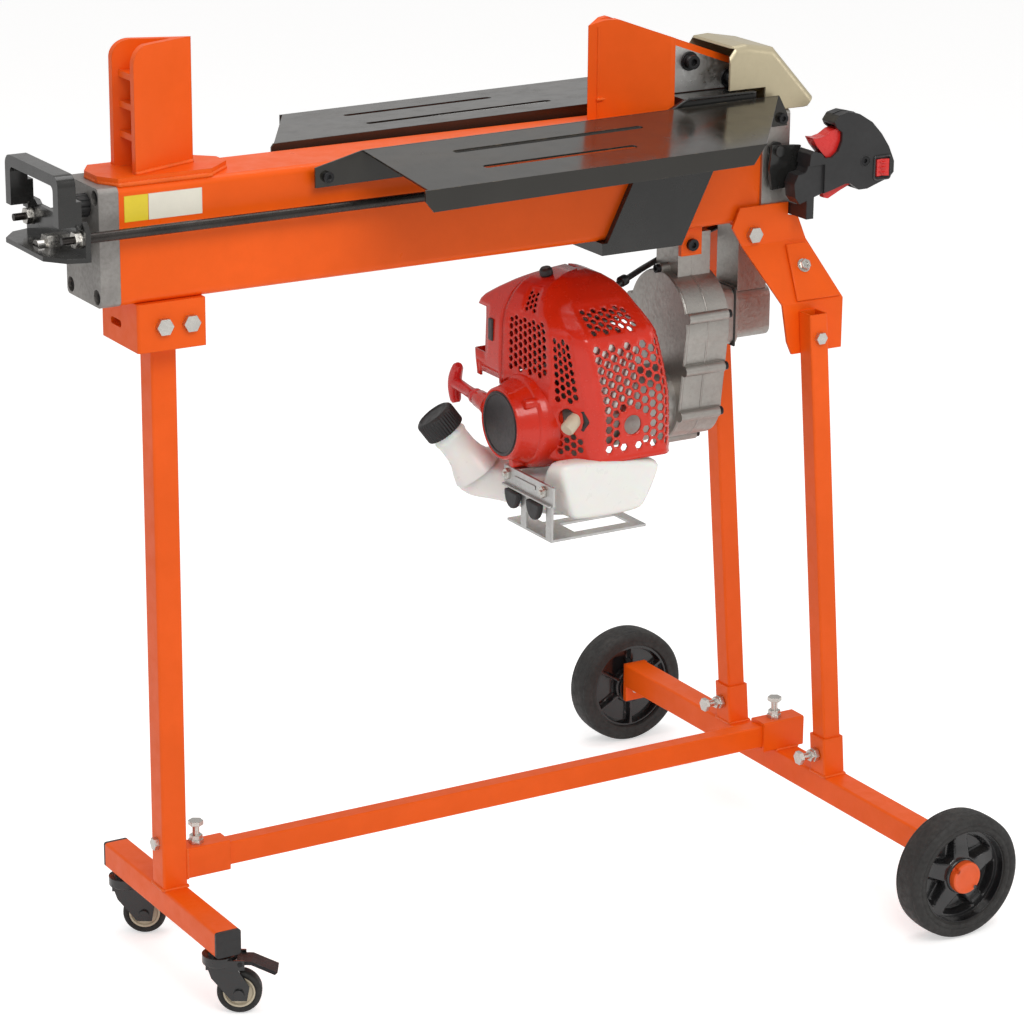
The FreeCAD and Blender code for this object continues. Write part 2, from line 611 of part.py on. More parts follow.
def log_tray(side):
    """Flange on the beam side, a wide sloping panel with two slots, and an outer lip."""
    inner_z, outer_z, slope, in_x0, in_x1, out_x0, out_x1, nose = TRAYS[side]

    def inner(x, drop=0.0):
        return (x, side * TRAY_Y, inner_z + slope * (x - 128) - drop)

    def outer(x, y=TRAY_OUTER_Y):
        return (x, side * y, outer_z + slope * (x - 128))

    flange_y = side * TRAY_Y
    nose_z = 918 if side == NEAR else inner(in_x0, 4)[2]
    flange = prism([(in_x0 - nose, flange_y, nose_z), inner(in_x0), inner(in_x1),
                    (in_x1 + 12, flange_y, inner(in_x1, 22)[2]),
                    (in_x1 + 12, flange_y, 903), (in_x0 - nose, flange_y, 896)],
                   (0, side * TRAY_SHEET, 0))
    panel = prism([inner(in_x0), inner(in_x1), outer(out_x1), outer(out_x0)],
                  (0, 0, -TRAY_SHEET))
    lip_y = side * (TRAY_OUTER_Y - TRAY_SHEET)
    front_z, rear_z = outer(out_x0)[2], outer(out_x1)[2]
    lip = prism([(out_x0 - 4, lip_y, front_z), (out_x1, lip_y, rear_z),
                 (out_x1 - 16, lip_y, rear_z - 22), (out_x0 + 6, lip_y, front_z - 24),
                 (out_x0 - 4, lip_y, front_z - 12)], (0, side * TRAY_SHEET, 0))
    tray = fuse(flange, panel, lip)
    for y, x0, x1 in TRAY_SLOTS:
        tray = tray.cut(rounded_box(x0, x1, *span(side, y - 5, y + 5), 900, 950,
                                    4.5, ALONG_Z))
    hole_start = min(side * 50, side * 60)
    return cut(tray, *[cylinder((x, hole_start, z), ALONG_Y, 3.0, 10)
                       for x, z, _ in TRAY_SCREWS])


def tray_screws():
    """Screw and spacer at each fixing point."""
    screws = []
    for side in SIDES:
        for x, z, face_y in TRAY_SCREWS:
            spacer = cylinder((x, side * face_y, z), (0, side, 0), 6.0, TRAY_Y - face_y)
            head_y = side * (TRAY_Y + TRAY_SHEET)
            screws.append(fuse(spacer, cap_screw((x, head_y, z), (0, side, 0),
                                                 3.0, 6.0, 5, 3)))
    return group(*screws)


# ---------------------------------------------------------------- ram
COLLAR_TOP = 944


def carriage_collar():
    """Collar sliding round the beam, with a lug on each side for the tie rods."""
    inner, upper_y = BEAM_HALF + FIT, BEAM_HALF + 6.4
    lower_y = upper_y + 1.6
    walls = []
    for side in (FAR, NEAR):
        lower = prism_xz([(435, 777), (542, 777), (600, 893), (493, 893)],
                         *span(side, inner, lower_y))
        upper = prism_xz([(516, 893), (600, 893), (640, 905), (640, COLLAR_TOP),
                          (545, COLLAR_TOP), (516, 930)], *span(side, inner, upper_y))
        lug = box(498, 540, *span(side, upper_y - 1, TIE_Y + 8.5), TIE_Z - 9, TIE_Z + 9)
        walls.append(fuse(lower, upper, lug))
    top = box(545, 640, -upper_y, upper_y, BEAM_TOP + FIT, COLLAR_TOP)
    bottom = box(435, 542, -lower_y, lower_y, 777, BEAM_BOTTOM - FIT)
    collar = fuse(*walls, top, bottom)
    for side in SIDES:
        collar = collar.cut(cylinder((490, side * TIE_Y, TIE_Z), ALONG_X, TIE_R, 30))
        collar = collar.cut(cylinder((515, side * TIE_Y, TIE_Z), ALONG_X, TIE_STUD_R, 30))
    return collar


def tie_rods():
    """Rods from the cross plate to the collar, with thinner studs at both ends."""
    rods = []
    for side in SIDES:
        y = side * TIE_Y
        rods.append(fuse(
            cylinder((PLATE_REAR, y, TIE_Z), ALONG_X, TIE_R, 520 - PLATE_REAR),
            cylinder((-228, y, TIE_Z), ALONG_X, TIE_STUD_R, 60),
            cylinder((500, y, TIE_Z), ALONG_X, TIE_STUD_R, 52)))
    return group(*rods)


def ram_nuts():
    """Nuts with washers on the tie rod studs, and a larger nut on the piston rod."""
    nuts = []
    for side in SIDES:
        for x, way in ((PLATE_FRONT, -1), (540, 1)):
            point, direction = (x, side * TIE_Y, TIE_Z), (way, 0, 0)
            nut = fuse(hex_bolt(point, direction, 1.0, 16, 8, 0.1),
                       cylinder(point, direction, 9.5, 1.6))
            nuts.append(nut.cut(cylinder((x - 20, side * TIE_Y, TIE_Z), ALONG_X,
                                         TIE_STUD_R, 40)))
    nut = hex_bolt((PLATE_FRONT, 0, ROD_Z), FORWARD, 1.0, 24, 13, 0.1)
    nuts.append(nut.cut(cylinder((-240, 0, ROD_Z), ALONG_X, ROD_STUD_R, 40)))
    return group(*nuts)


def cross_plate():
    """Upright plate with rounded ears, a lip forward at its lower edge and a handle."""
    upright = prism_yz([(-76, 852), (-76, 884), (-68, 893), (-52, 893), (-46, 889),
                        (46, 889), (52, 893), (68, 893), (76, 884), (76, 852)],
                       PLATE_FRONT, PLATE_REAR)
    lip = prism_xy([(-203, -76), (-207, -76), (-226, -70), (-243, -48), (-243, 48),
                    (-226, 70), (-207, 76), (-203, 76)], 852, 857)
    lip = lip.cut(box(-232, -206.9, -15, 15, 850, 860))
    handle = box(-233, -213, -68, 68, 889, 943)
    handle = fillet(handle, 12, lambda edge: is_along(edge, ALONG_X)
                    and edge.BoundBox.ZMin > 940)
    opening = box(-240, -200, -55, 55, 880, 931)
    opening = fillet(opening, 6, lambda edge: is_along(edge, ALONG_X)
                     and edge.BoundBox.ZMin > 930)
    feet = [box(-214, PLATE_FRONT, *span(side, 55, 68), 884, 915) for side in SIDES]
    plate = fuse(upright, lip, handle.cut(opening), *feet)
    for side in SIDES:
        plate = plate.cut(cylinder((-215, side * TIE_Y, TIE_Z), ALONG_X, TIE_STUD_R, 20))
    return plate.cut(cylinder((-215, 0, ROD_Z), ALONG_X, ROD_STUD_R, 20))


# ---------------------------------------------------------------- pusher
PUSHER_BOLTS = [(572, 980), (627, 956)]      # x, z
PUSHER_BOLT_R = 5.0
WEB_HALF, SIDE_PLATE = 6, 6                  # half thickness of the web, side plate thickness
SIDE_PLATE_Y = WEB_HALF + SIDE_PLATE


def cut_pusher_holes(shape):
    return cut(shape, *[cylinder((x, -20, z), ALONG_Y, PUSHER_BOLT_R, 40)
                        for x, z in PUSHER_BOLTS])


def pusher_plough():
    """V of plate with its nose forward and a central web running back."""
    nose_x, wing_x, wing_y, plate = 444.0, 527, 43.0, 7.0
    back_x = wing_x + 6
    inner_nose = nose_x + plate / math.sin(math.atan2(wing_y, wing_x - nose_x))
    vee = prism_xy([(nose_x, 0), (wing_x, -wing_y), (back_x, -wing_y), (back_x, 5 - wing_y),
                    (inner_nose, 0), (back_x, wing_y - 5), (back_x, wing_y),
                    (wing_x, wing_y)], BEAM_TOP + FIT + 0.35, 1036)
    # trim the top edge to slope down both ways
    vee = vee.cut(prism_xz([(nose_x - 10, 1026.0), (nose_x - 1, 1029), (nose_x + 20, 1036.5),
                            (nose_x + 30, 1036.5), (540, 1012), (540, 1050),
                            (nose_x - 10, 1050)], -60, 60))
    web = prism_xz([(inner_nose - 6, 922), (inner_nose - 6, 1028), (482, 1034), (650, 972),
                    (650, 966), (632, 950), (627, COLLAR_TOP), (545, COLLAR_TOP),
                    (545, 922)], -WEB_HALF, WEB_HALF)
    return cut_pusher_holes(fuse(vee, web))


def pusher_side_plates():
    outline = [(552, 945), (552, 1000), (620, 975), (632, 971), (640, 962), (640, 945)]
    return cut_pusher_holes(group(prism_xz(outline, -SIDE_PLATE_Y, -WEB_HALF),
                                  prism_xz(outline, WEB_HALF, SIDE_PLATE_Y)))


def pusher_bolts():
    """Cap screw from the near side, a washer on each side and a nut on the far side."""
    washer = 2
    nut_y = SIDE_PLATE_Y + washer
    bolts = []
    for x, z in PUSHER_BOLTS:
        bolts.append(fuse(
            cap_screw((x, -nut_y, z), (0, -1, 0), PUSHER_BOLT_R, 8.0, 9, 36),
            cylinder((x, -SIDE_PLATE_Y, z), (0, -1, 0), 11.0, washer),
            cylinder((x, SIDE_PLATE_Y, z), ALONG_Y, 11.0, washer),
            hex_bolt((x, nut_y, z), ALONG_Y, PUSHER_BOLT_R, 17, 8, 2)))
    return group(*bolts)


def rear_cover():
    """Hood over the rear end of the beam, open to the front, with a floor at the rear."""
    half = 46
    hood = prism_xz([(606, 920.5), (606, 990), (612, 998), (630, 999), (668, 992),
                     (724, 931), (714, 920.5)], -half, half)
    hood = fillet(hood, 9, lambda edge: edge.BoundBox.YLength < 1
                  and edge.BoundBox.ZMin > 925
                  and abs(abs(edge.CenterOfMass.y) - half) < 0.1)
    hood = hood.cut(prism_xz([(600, 915), (600, 995), (629, 995.5), (666, 988), (718, 931),
                              (710, 915)], -43, 43))
    hood = hood.cut(box(600, 652, -60, 60, 915, 948))
    floor = box(655, 712, -44, 44, 919.5, 922.5)
    return fuse(hood, floor).cut(box(600, 655, -60, 60, 900, 948))


def valve_lever():
    """Pivot with a collar and a flat plate on the near side of the valve block."""
    return fuse(cylinder((LEVER_X, -47.1, LEVER_Z), (0, -1, 0), 10.0, 3),
                cylinder((LEVER_X, -50, LEVER_Z), ALONG_Y, 7.0, 40),
                cylinder((LEVER_X, -50, LEVER_Z), (0, -1, 0), 6.0, 10),
                prism_xz([(660, 882), (692, 879), (700, 878), (695, 831), (661, 829),
                          (657, 852)], -56, -52))


# ---------------------------------------------------------------- throttle grip
GRIP_Y0, GRIP_Y1 = -88.0, -62.0
TRIGGER_X, TRIGGER_Z = 745.0, 884.0
LOCKOUT_X, LOCKOUT_Z = 754.0, 837.0
GRIP_PIVOT_R = 2.5                   # pivots of the trigger and the lock-out lever
SWITCH_X, SWITCH_Z, SWITCH_PIN_R = 793.0, 848.0, 1.5
GRIP_SCREW_X, GRIP_SCREW_Z = 769, 858
# x, z round the side view of the grip
GRIP_OUTLINE = [
    (693, 820), (680, 816), (674, 824), (672, 840), (677, 850), (687, 852), (690, 857),
    (692, 873), (696, 877), (707, 873), (712, 867), (722, 867), (730, 873), (735, 885),
    (735, 895), (727, 901), (724, 907), (730, 915), (743, 918), (759, 914), (777, 903),
    (791, 888), (802, 872), (810, 854), (810, 841), (804, 835), (788, 830), (773, 825),
    (761, 825), (749, 834), (741, 834), (728, 830), (712, 826)]


def throttle_grip():
    grip = prism_xz(GRIP_OUTLINE, GRIP_Y0, GRIP_Y1)
    grip = grip.cut(box(660, 712, GRIP_Y0 - 1, GRIP_Y0 + 3, 790, 860))
    grip = grip.cut(box(660, 712, GRIP_Y1 - 3, GRIP_Y1 + 1, 790, 860))
    grip = fillet(grip, 5, lambda edge: edge.BoundBox.YLength < 0.5
                  and edge.BoundBox.XMin > 713 and abs(edge.CenterOfMass.y - GRIP_Y0) < 0.1)
    riser = box(690, 700, GRIP_Y0 + 3, GRIP_Y1 - 3, 797, 830)
    arm = box(690, 700, GRIP_Y1 - 8, -30, 797, 811)
    grip = fuse(grip, riser, arm)
    # pockets for the trigger, the lock-out lever and the switch
    grip = grip.cut(prism_xz([(700, 870), (712, 856), (730, 850), (750, 858), (760, 872),
                              (758, 892), (748, 903), (722, 904), (700, 900)], -84, -66))
    grip = grip.cut(prism_xz([(709, 812), (722, 811), (760, 824), (765, 842), (752, 848),
                              (711, 838)], -80, -70))
    grip = grip.cut(box(SWITCH_X - 9.6, SWITCH_X + 9.6, GRIP_Y0 - 1, GRIP_Y0 + 8,
                        SWITCH_Z - 11, SWITCH_Z + 11))
    # pivot bores, then the stepped screw hole
    screw_start = (GRIP_SCREW_X, GRIP_Y0 - 1, GRIP_SCREW_Z)
    grip = cut(grip,
               cylinder((TRIGGER_X, -86, TRIGGER_Z), ALONG_Y, GRIP_PIVOT_R, 22),
               cylinder((LOCKOUT_X, -83, LOCKOUT_Z), ALONG_Y, GRIP_PIVOT_R, 16),
               cylinder((SWITCH_X, GRIP_Y0 + 4, SWITCH_Z - 12), ALONG_Z, SWITCH_PIN_R, 24),
               cylinder(screw_start, ALONG_Y, 3.0, 22),
               cylinder(screw_start, ALONG_Y, 5.4, 5))
    return largest_solid(grip)


def throttle_trigger():
    trigger = prism_xz([(697, 891), (706, 890), (715, 892), (725, 898), (734, 899.5),
                        (741, 897), (750, 890), (752, 882), (747, 877), (737, 874),
                        (728, 868), (719, 864), (711, 872), (703, 881)], -83, -67)
    return fuse(trigger, cylinder((TRIGGER_X, -85.5, TRIGGER_Z), ALONG_Y,
                                  GRIP_PIVOT_R - FIT, 21))


def lockout_lever():
    lever = prism_xz([(751, 842), (744, 838), (716, 827), (718, 818.5), (724, 817),
                      (741, 825), (756, 831), (759, 838)], -79, -71)
    return fuse(lever, cylinder((LOCKOUT_X, -82.5, LOCKOUT_Z), ALONG_Y,
                                GRIP_PIVOT_R - FIT, 15))


def stop_switch():
    """Rocker with a hollowed near face and an upright pin."""
    x, y, z = SWITCH_X, GRIP_Y0, SWITCH_Z
    rocker = prism_xy([(x - 8, y + 7), (x - 8, y - 1.0), (x, y + 1.0), (x + 8, y - 3.0),
                       (x + 8, y + 7)], z - 10, z + 10)
    # trim the back, deeper on both sides of the pin
    for x0, x1, y0 in ((x - 20, x + 20, y + 5.8), (x - 20, x - 3, y + 2.5),
                       (x + 3, x + 20, y + 2.5)):
        rocker = rocker.cut(box(x0, x1, y0, y + 20, z - 30, z + 30))
    return fuse(rocker, cylinder((x, y + 4, z - 11.5), ALONG_Z, SWITCH_PIN_R - FIT, 23))


# ---------------------------------------------------------------- engine
BARREL_X = 431


def engine_block():
    """Crankcase, foot, upright finned barrel and rear flange ring."""
    front, rear = 392.0, 470.0
    case = cylinder((front, 0, CRANK_Z), ALONG_X, 42, rear - front)
    case = case.cut(cylinder((front + 6, 0, CRANK_Z), ALONG_X, 34, rear - front - 12))
    case = case.cut(cylinder((front - 1, 0, CRANK_Z), ALONG_X, CRANK_R + FIT, 120))
    barrel = cylinder((BARREL_X, 0, CRANK_Z + 38), ALONG_Z, 28, 92)
    barrel = barrel.cut(cylinder((BARREL_X, 0, CRANK_Z + 30), ALONG_Z, 22, 92))
    half, fin, pitch = 36, 4, 9
    fins = []
    for k in range(9):
        z = CRANK_Z + 48 + pitch * k
        plate = box(BARREL_X - half, BARREL_X + half, -half, half, z, z + fin)
        fins.append(plate.cut(cylinder((BARREL_X, 0, CRANK_Z), ALONG_Z, 26, 200)))
    foot = box(404, 458, -16, 16, 530.0, 546)
    block = fuse(case, barrel, foot, *fins)
    flange = cylinder((rear, 0, CRANK_Z), ALONG_X, 46, 14)
    flange = flange.cut(cylinder((rear - 1, 0, CRANK_Z), ALONG_X, 36, 20))
    return fuse(block, flange)


PINION_TEETH, DRIVEN_TEETH = 24, 32
PITCH_R_PER_TOOTH = (PUMP_Z - CRANK_Z) / (PINION_TEETH + DRIVEN_TEETH)


def gear(x, z, teeth, tip_r, root_r, width):
    tooth_half = math.pi * root_r / teeth * 0.52
    tip_half = tooth_half * 0.55
    teeth_shapes = []
    for k in range(teeth):
        tooth = prism([(x, -tooth_half, z + root_r - 0.6), (x, tooth_half, z + root_r - 0.6),
                       (x, tip_half, z + tip_r), (x, -tip_half, z + tip_r)], (width, 0, 0))
        tooth.rotate(Vector(x, 0, z), ALONG_X, 360.0 * k / teeth)
        teeth_shapes.append(tooth)
    disc = cylinder((x, 0, z), ALONG_X, root_r, width)
    return disc.fuse(teeth_shapes).removeSplitter()


def crankshaft():
    """Shaft with a vaned flywheel, counterweights, a disc and the pinion."""
    discs = [(352, CRANK_R, 250.5), (356, 40, 22), (412, 30, 10), (440, 30, 10),
             (488, 32, 18)]          # front x, radius, length
    shaft = fuse(*[cylinder((x, 0, CRANK_Z), ALONG_X, radius, length)
                   for x, radius, length in discs])
    vanes = []
    for k in range(12):
        vane = box(352, 356.5, -1.5, 1.5, CRANK_Z + 20, CRANK_Z + 39)
        vane.rotate(Vector(352, 0, CRANK_Z), ALONG_X, 30 * k)
        vanes.append(vane)
    shaft = fuse(shaft, *vanes)
    pitch_r = PITCH_R_PER_TOOTH * PINION_TEETH
    return fuse(shaft, gear(552.0, CRANK_Z, PINION_TEETH, pitch_r + 2.6, pitch_r - 3.4, 16))


def driven_gear():
    """Gear on the pump shaft, turned half a tooth to mesh."""
    pitch_r = PITCH_R_PER_TOOTH * DRIVEN_TEETH
    wheel_gear = gear(553.0, PUMP_Z, DRIVEN_TEETH, pitch_r + 1.6, pitch_r - 4.6, 14)
    wheel_gear.rotate(Vector(553, 0, PUMP_Z), ALONG_X, 180.0 / DRIVEN_TEETH)
    return fuse(wheel_gear, cylinder((550, 0, PUMP_Z), ALONG_X, PUMP_SHAFT_R, 76),
                cylinder((550.5, 0, PUMP_Z), ALONG_X, 20, 20))


# ---------------------------------------------------------------- gearbox
CASE_FRONT, CASE_SPLIT, CASE_REAR = 545.0, 575.0, 604.0
CASE_LOW_R, CASE_TOP_R = 47.0, 60.0  # outer radii round the pinion and the driven gear
BOSS_LENGTH = 24                     # of the bosses on the rear casting
CASE_SCREW_R = 2.5
CASE_BOSSES = [(0, CRANK_Z - 49.7), (-48.6, CRANK_Z - 10.2), (48.6, CRANK_Z - 10.2),
               (-56.6, CRANK_Z + 46), (56.6, CRANK_Z + 46),
               (-61.6, PUMP_Z + 15.3), (61.6, PUMP_Z + 15.3)]    # y, z
TOP_BOSS = (0, PUMP_Z + 62.5)        # its screw enters from the front


def case_body(x0, x1, low_r, top_r):
    """Two discs of different radius joined by a tapering block."""
    return fuse(cylinder((x0, 0, CRANK_Z), ALONG_X, low_r, x1 - x0),
                cylinder((x0, 0, PUMP_Z), ALONG_X, top_r, x1 - x0),
                prism_yz([(-low_r, CRANK_Z), (low_r, CRANK_Z), (top_r, PUMP_Z),
                          (-top_r, PUMP_Z)], x0, x1))


def case_cavity():
    return case_body(CASE_FRONT + 4, 600.0, CASE_LOW_R - 3, CASE_TOP_R - 3)


def add_bosses(shape, x, length):
    for y, z in CASE_BOSSES + [TOP_BOSS]:
        shape = shape.fuse(cylinder((x, y, z), ALONG_X, 6.5, length))
    return shape


def tower_part(x0, x1):
    """Hollow tower up to the beam tabs, less what lies between x0 and x1."""
    tower = box(556, 600, -22.9, 22.9, PUMP_Z + 50, 782)
    tower = tower.cut(box(562, 592, -17, 17, PUMP_Z + 68, 760))
    return tower.cut(box(x0, x1, -60, 60, 600, 900))


def cut_tab_holes(shape):
    return cut(shape, *[cylinder((TAB_X, side * TAB_Y - 10, TAB_BOLT_Z), ALONG_Y, 4.0, 20)
                        for side in SIDES])


def gearbox_front():
    case = case_body(CASE_FRONT, CASE_SPLIT, CASE_LOW_R, CASE_TOP_R)
    bell = cylinder((484.0, 0, CRANK_Z), ALONG_X, 46, 35)
    bell = bell.cut(cylinder((483.0, 0, CRANK_Z), ALONG_X, 40, 34))
    neck = cylinder((518.0, 0, CRANK_Z), ALONG_X, 42, CASE_FRONT - 517)
    neck = neck.cut(cylinder((519.0, 0, CRANK_Z), ALONG_X, 36, CASE_FRONT - 521))
    case = add_bosses(fuse(case, bell, neck), CASE_FRONT, CASE_SPLIT - CASE_FRONT)
    cavity = case_cavity()
    case = case.removeSplitter().cut(cavity)
    case = case.cut(cylinder((510.0, 0, CRANK_Z), ALONG_X, CRANK_R + FIT, 45))
    case = fuse(tower_part(CASE_SPLIT, 700), case).cut(cavity)
    for y, z in CASE_BOSSES:
        case = case.cut(cylinder((CASE_SPLIT - 20, y, z), ALONG_X, CASE_SCREW_R, 30))
    case = case.cut(cylinder((CASE_FRONT - 1, *TOP_BOSS), ALONG_X, CASE_SCREW_R, 60))
    return cut_tab_holes(case)


def gearbox_rear():
    case = case_body(CASE_SPLIT, CASE_REAR, CASE_LOW_R, CASE_TOP_R)
    case = add_bosses(case, CASE_SPLIT, BOSS_LENGTH)
    case = fuse(tower_part(500, CASE_SPLIT), case).cut(case_cavity())
    case = case.cut(cylinder((590.0, 0, PUMP_Z), ALONG_X, PUMP_SHAFT_R + FIT, 20))
    case = case.cut(cylinder((590.0, 0, CRANK_Z), ALONG_X, CRANK_R + FIT, 13))
    for y, z in CASE_BOSSES:
        case = case.cut(cylinder((CASE_SPLIT - 10, y, z), ALONG_X, CASE_SCREW_R, 60))
        case = case.cut(cylinder((CASE_SPLIT + BOSS_LENGTH, y, z), ALONG_X, 5.5, 8))
    case = case.cut(cylinder((CASE_SPLIT - 10, *TOP_BOSS), ALONG_X, CASE_SCREW_R, 24))
    return cut_tab_holes(case)


def socket_screws():
    """Screws of the end cap, valve block, throttle grip, gearbox and beam tabs."""
    screws = []
    for y, z in END_BOLTS:
        screws.append(cap_screw((CAP_FRONT + 10, y, z), FORWARD, END_BOLT_R, 6.0, 6, 24))
        screws.append(cap_screw((VALVE_REAR - 7, y, z), ALONG_X, END_BOLT_R, 6.0, 6, 40))
    screws.append(cap_screw((GRIP_SCREW_X, GRIP_Y0 + 4, GRIP_SCREW_Z), (0, -1, 0),
                            3.0, 5.2, 4, 14))
    for y, z in CASE_BOSSES:
        screws.append(cap_screw((CASE_SPLIT + BOSS_LENGTH, y, z), ALONG_X,
                                CASE_SCREW_R, 5.0, 5, 42))
    screws.append(cap_screw((CASE_FRONT, *TOP_BOSS), FORWARD, CASE_SCREW_R, 5.0, 5, 42))
    for side in SIDES:
        screws.append(cap_screw((TAB_X, side * (TAB_Y + 3), TAB_BOLT_Z), (0, side, 0),
                                4.0, 7.0, 5, 12))
    return group(*screws)


def pump_body():
    """Pump behind the gearbox with a neck up towards the beam."""
    flange = rounded_box(CASE_REAR, 636, -30, 30, PUMP_Z - 34, PUMP_Z + 34, 10, ALONG_X)
    body = rounded_box(636, 684, -26, 26, PUMP_Z - 30, PUMP_Z + 30, 12, ALONG_X)
    neck = box(640, 680, -22, 22, PUMP_Z + 28, 787.4)
    return fuse(flange, body, neck).cut(
        cylinder((600, 0, PUMP_Z), ALONG_X, PUMP_SHAFT_R + FIT, 27))


# ---------------------------------------------------------------- engine covers
def cover_block(y0, y1, grow=0.0):
    """Solid of the cover's side outline, offset outward by about grow."""
    return prism_xz([(358 - grow, 552), (352 - grow, 640), (356 - grow, 690),
                     (372 - grow * 0.7, 735 + grow * 0.7), (400, 756 + grow),
                     (440, 762 + grow), (478 + grow * 0.6, 742 + grow * 0.8),
                     (503 + grow, 700), (514 + grow, 650), (514 + grow, 552)], y0, y1)


def grille_holes():
    """Hexagons over the near face, left out near its corners and round the port."""
    corner_r = 4.9
    holes = []
    for i in range(12):
        for j in range(13):
            x = 378 + i * 11.2
            z = 572 + j * 12.9 + (6.45 if i % 2 else 0)
            if x > 500 or z > 735 or (x > 486 and z > 690) or (x < 384 and z > 700):
                continue
            if (x - 478) ** 2 + (z - 575) ** 2 < 20 ** 2:
                continue
            corners = [(x + corner_r * math.cos(math.radians(60 * k)),
                        z + corner_r * math.sin(math.radians(60 * k))) for k in range(6)]
            holes.append(prism_xz(corners, -95, -86))
    return Part.makeCompound(holes)


def engine_cover():
    cover = cover_block(-92, 44).cut(cover_block(-89, 50, -3.0))
    cover = cover.cut(cylinder((340, 0, CRANK_Z), ALONG_X, 52, 60))
    cover = cover.cut(cylinder((470, 0, CRANK_Z), ALONG_X, 47, 60))
    cover = cover.cut(box(480, 530, -76, 60, 545, 700))
    cover = cover.cut(grille_holes())
    cover = cover.cut(cylinder((478, -95, 575), ALONG_Y, 12, 9))
    return largest_solid(cover)


def filter_cover():
    """Cover on the far side, open towards the engine and below."""
    cover = prism_xz([(362, 640), (356, 690), (372, 730), (400, 750), (436, 752),
                      (452, 730), (452, 640)], 44, 96)
    cover = fillet(cover, 10, lambda edge: edge.BoundBox.YLength < 0.5
                   and abs(edge.CenterOfMass.y - 96) < 0.1)
    return cover.cut(prism_xz([(366, 636), (360, 690), (375, 727), (402, 746), (434, 748),
                               (448, 728), (448, 636)], 43, 92))


# ---------------------------------------------------------------- recoil starter
ROPE_START = Vector(344, 30, CRANK_Z + 8)
ROPE_DIRECTION = unit(0, 1, 0.1)


def recoil_housing():
    """Conical shell in front of the flywheel with a rope port on the far side."""
    hollow = cone((338, 0, CRANK_Z), ALONG_X, 43, 47, 20)
    housing = cone((334, 0, CRANK_Z), ALONG_X, 47, 51, 20).cut(hollow)
    housing = housing.cut(cylinder((332, 0, CRANK_Z), ALONG_X, 38, 3.5))
    housing = fuse(housing, cylinder(ROPE_START, ROPE_DIRECTION, 9, 38))
    housing = housing.cut(hollow)
    housing = housing.cut(cylinder(ROPE_START - ROPE_DIRECTION * 10, ROPE_DIRECTION, 5.0, 60))
    housing = housing.cut(cylinder((336, 0, CRANK_Z), ALONG_X, 10.5, 10))
    return housing.cut(cylinder((330, 0, CRANK_Z), ALONG_X, 38, 5.5))


def recoil_badge():
    return cylinder((332.6, 0, CRANK_Z), ALONG_X, 37.6, 2.9)


def pull_handle():
    """Tapered handle with a T grip, on its rope."""
    start = ROPE_START + ROPE_DIRECTION * 38.5
    grip_direction = unit(0.0, -0.12, 1.0)
    grip_start = start + ROPE_DIRECTION * 55 - grip_direction * 24
    return fuse(cone(start, ROPE_DIRECTION, 9, 7, 50),
                cylinder(grip_start, grip_direction, 7.0, 46),
                cylinder(start - ROPE_DIRECTION * 46, ROPE_DIRECTION, 2.0, 50))


def muffler():
    """Box on the near side of the barrel with its inlet stub."""
    body = rounded_box(400, 462, -84, -50, 600, 690, 8, ALONG_Y)
    return fuse(body, box(420, 442, -52, -36.1, 640, 656))


# ---------------------------------------------------------------- fuel tank and stand
NECK_DIRECTION = unit(-0.55, 0.25, 0.8)
NECK_START, NECK_LENGTH = Vector(332, 66, 520), 46
NECK_END = NECK_START + NECK_DIRECTION * NECK_LENGTH


def fuel_tank():
    bottom = 470
    tank = prism_xy([(356, -86), (360, -92), (500, -92), (508, -84), (508, 60), (500, 92),
                     (330, 94), (322, 86), (322, 40), (350, 30)], bottom, 529)
    tank = fillet(tank, 9, lambda edge: is_along(edge, ALONG_Z))
    tank = fillet(tank, 8, lambda edge: abs(edge.BoundBox.ZMin - bottom) < 0.1
                  and edge.BoundBox.ZLength < 0.1)
    tank = fuse(tank, cylinder(NECK_START, NECK_DIRECTION, 19, NECK_LENGTH))
    near_block = fillet(box(360, 492, -92, -60, 484, 549), 8,
                        lambda edge: abs(edge.CenterOfMass.y + 92) < 0.1)
    tank = fuse(tank, near_block)
    tank = tank.cut(box(340, 470, -60, 60, 520, 540))
    return tank.cut(cylinder(NECK_END - NECK_DIRECTION * 26, NECK_DIRECTION, 13, 30))


def fuel_cap():
    return fuse(cylinder(NECK_END + NECK_DIRECTION * 0.3, NECK_DIRECTION, 24, 26),
                cylinder(NECK_END - NECK_DIRECTION * 13, NECK_DIRECTION, 13 - FIT, 14))


def stand_bracket():
    """Open floor frame, two uprights at its front and cross strips."""
    front, bottom, sheet = 345, 464.0, 3
    floor = box(front, 472, -95, -32, bottom, bottom + sheet)
    floor = floor.cut(box(385, 460, -80, -46, bottom - 1, bottom + 4))
    return fuse(floor,
                box(front, front + sheet, -95, -83, bottom, 512),
                box(front, front + sheet, -40, -28, bottom, 512),
                box(front, front + sheet, -98, 10, 506, 529.5),
                box(front, 372, -32, 2, bottom, bottom + sheet),
                box(front, 440, -16, 10, 527, 529.5))


# x, y, z along the cable from the grip arm to the engine
CABLE_POINTS = [
    (695, -28.3, 804), (697, 8, 800), (690, 36, 784), (664, 42, 770), (632, 42, 761),
    (603, 40, 752), (577, 36, 743), (554, 30, 737), (535, 20, 735), (515, 9, 732.5),
    (497, 0, 730)]


def throttle_cable():
    points = [Vector(*point) for point in CABLE_POINTS]
    curve = Part.BSplineCurve()
    curve.interpolate(points)
    start_tangent = curve.tangent(curve.FirstParameter)[0]
    profile = Part.Wire(Part.makeCircle(3.5, points[0], start_tangent))
    return Part.Wire(curve.toShape()).makePipeShell([profile], True, True)


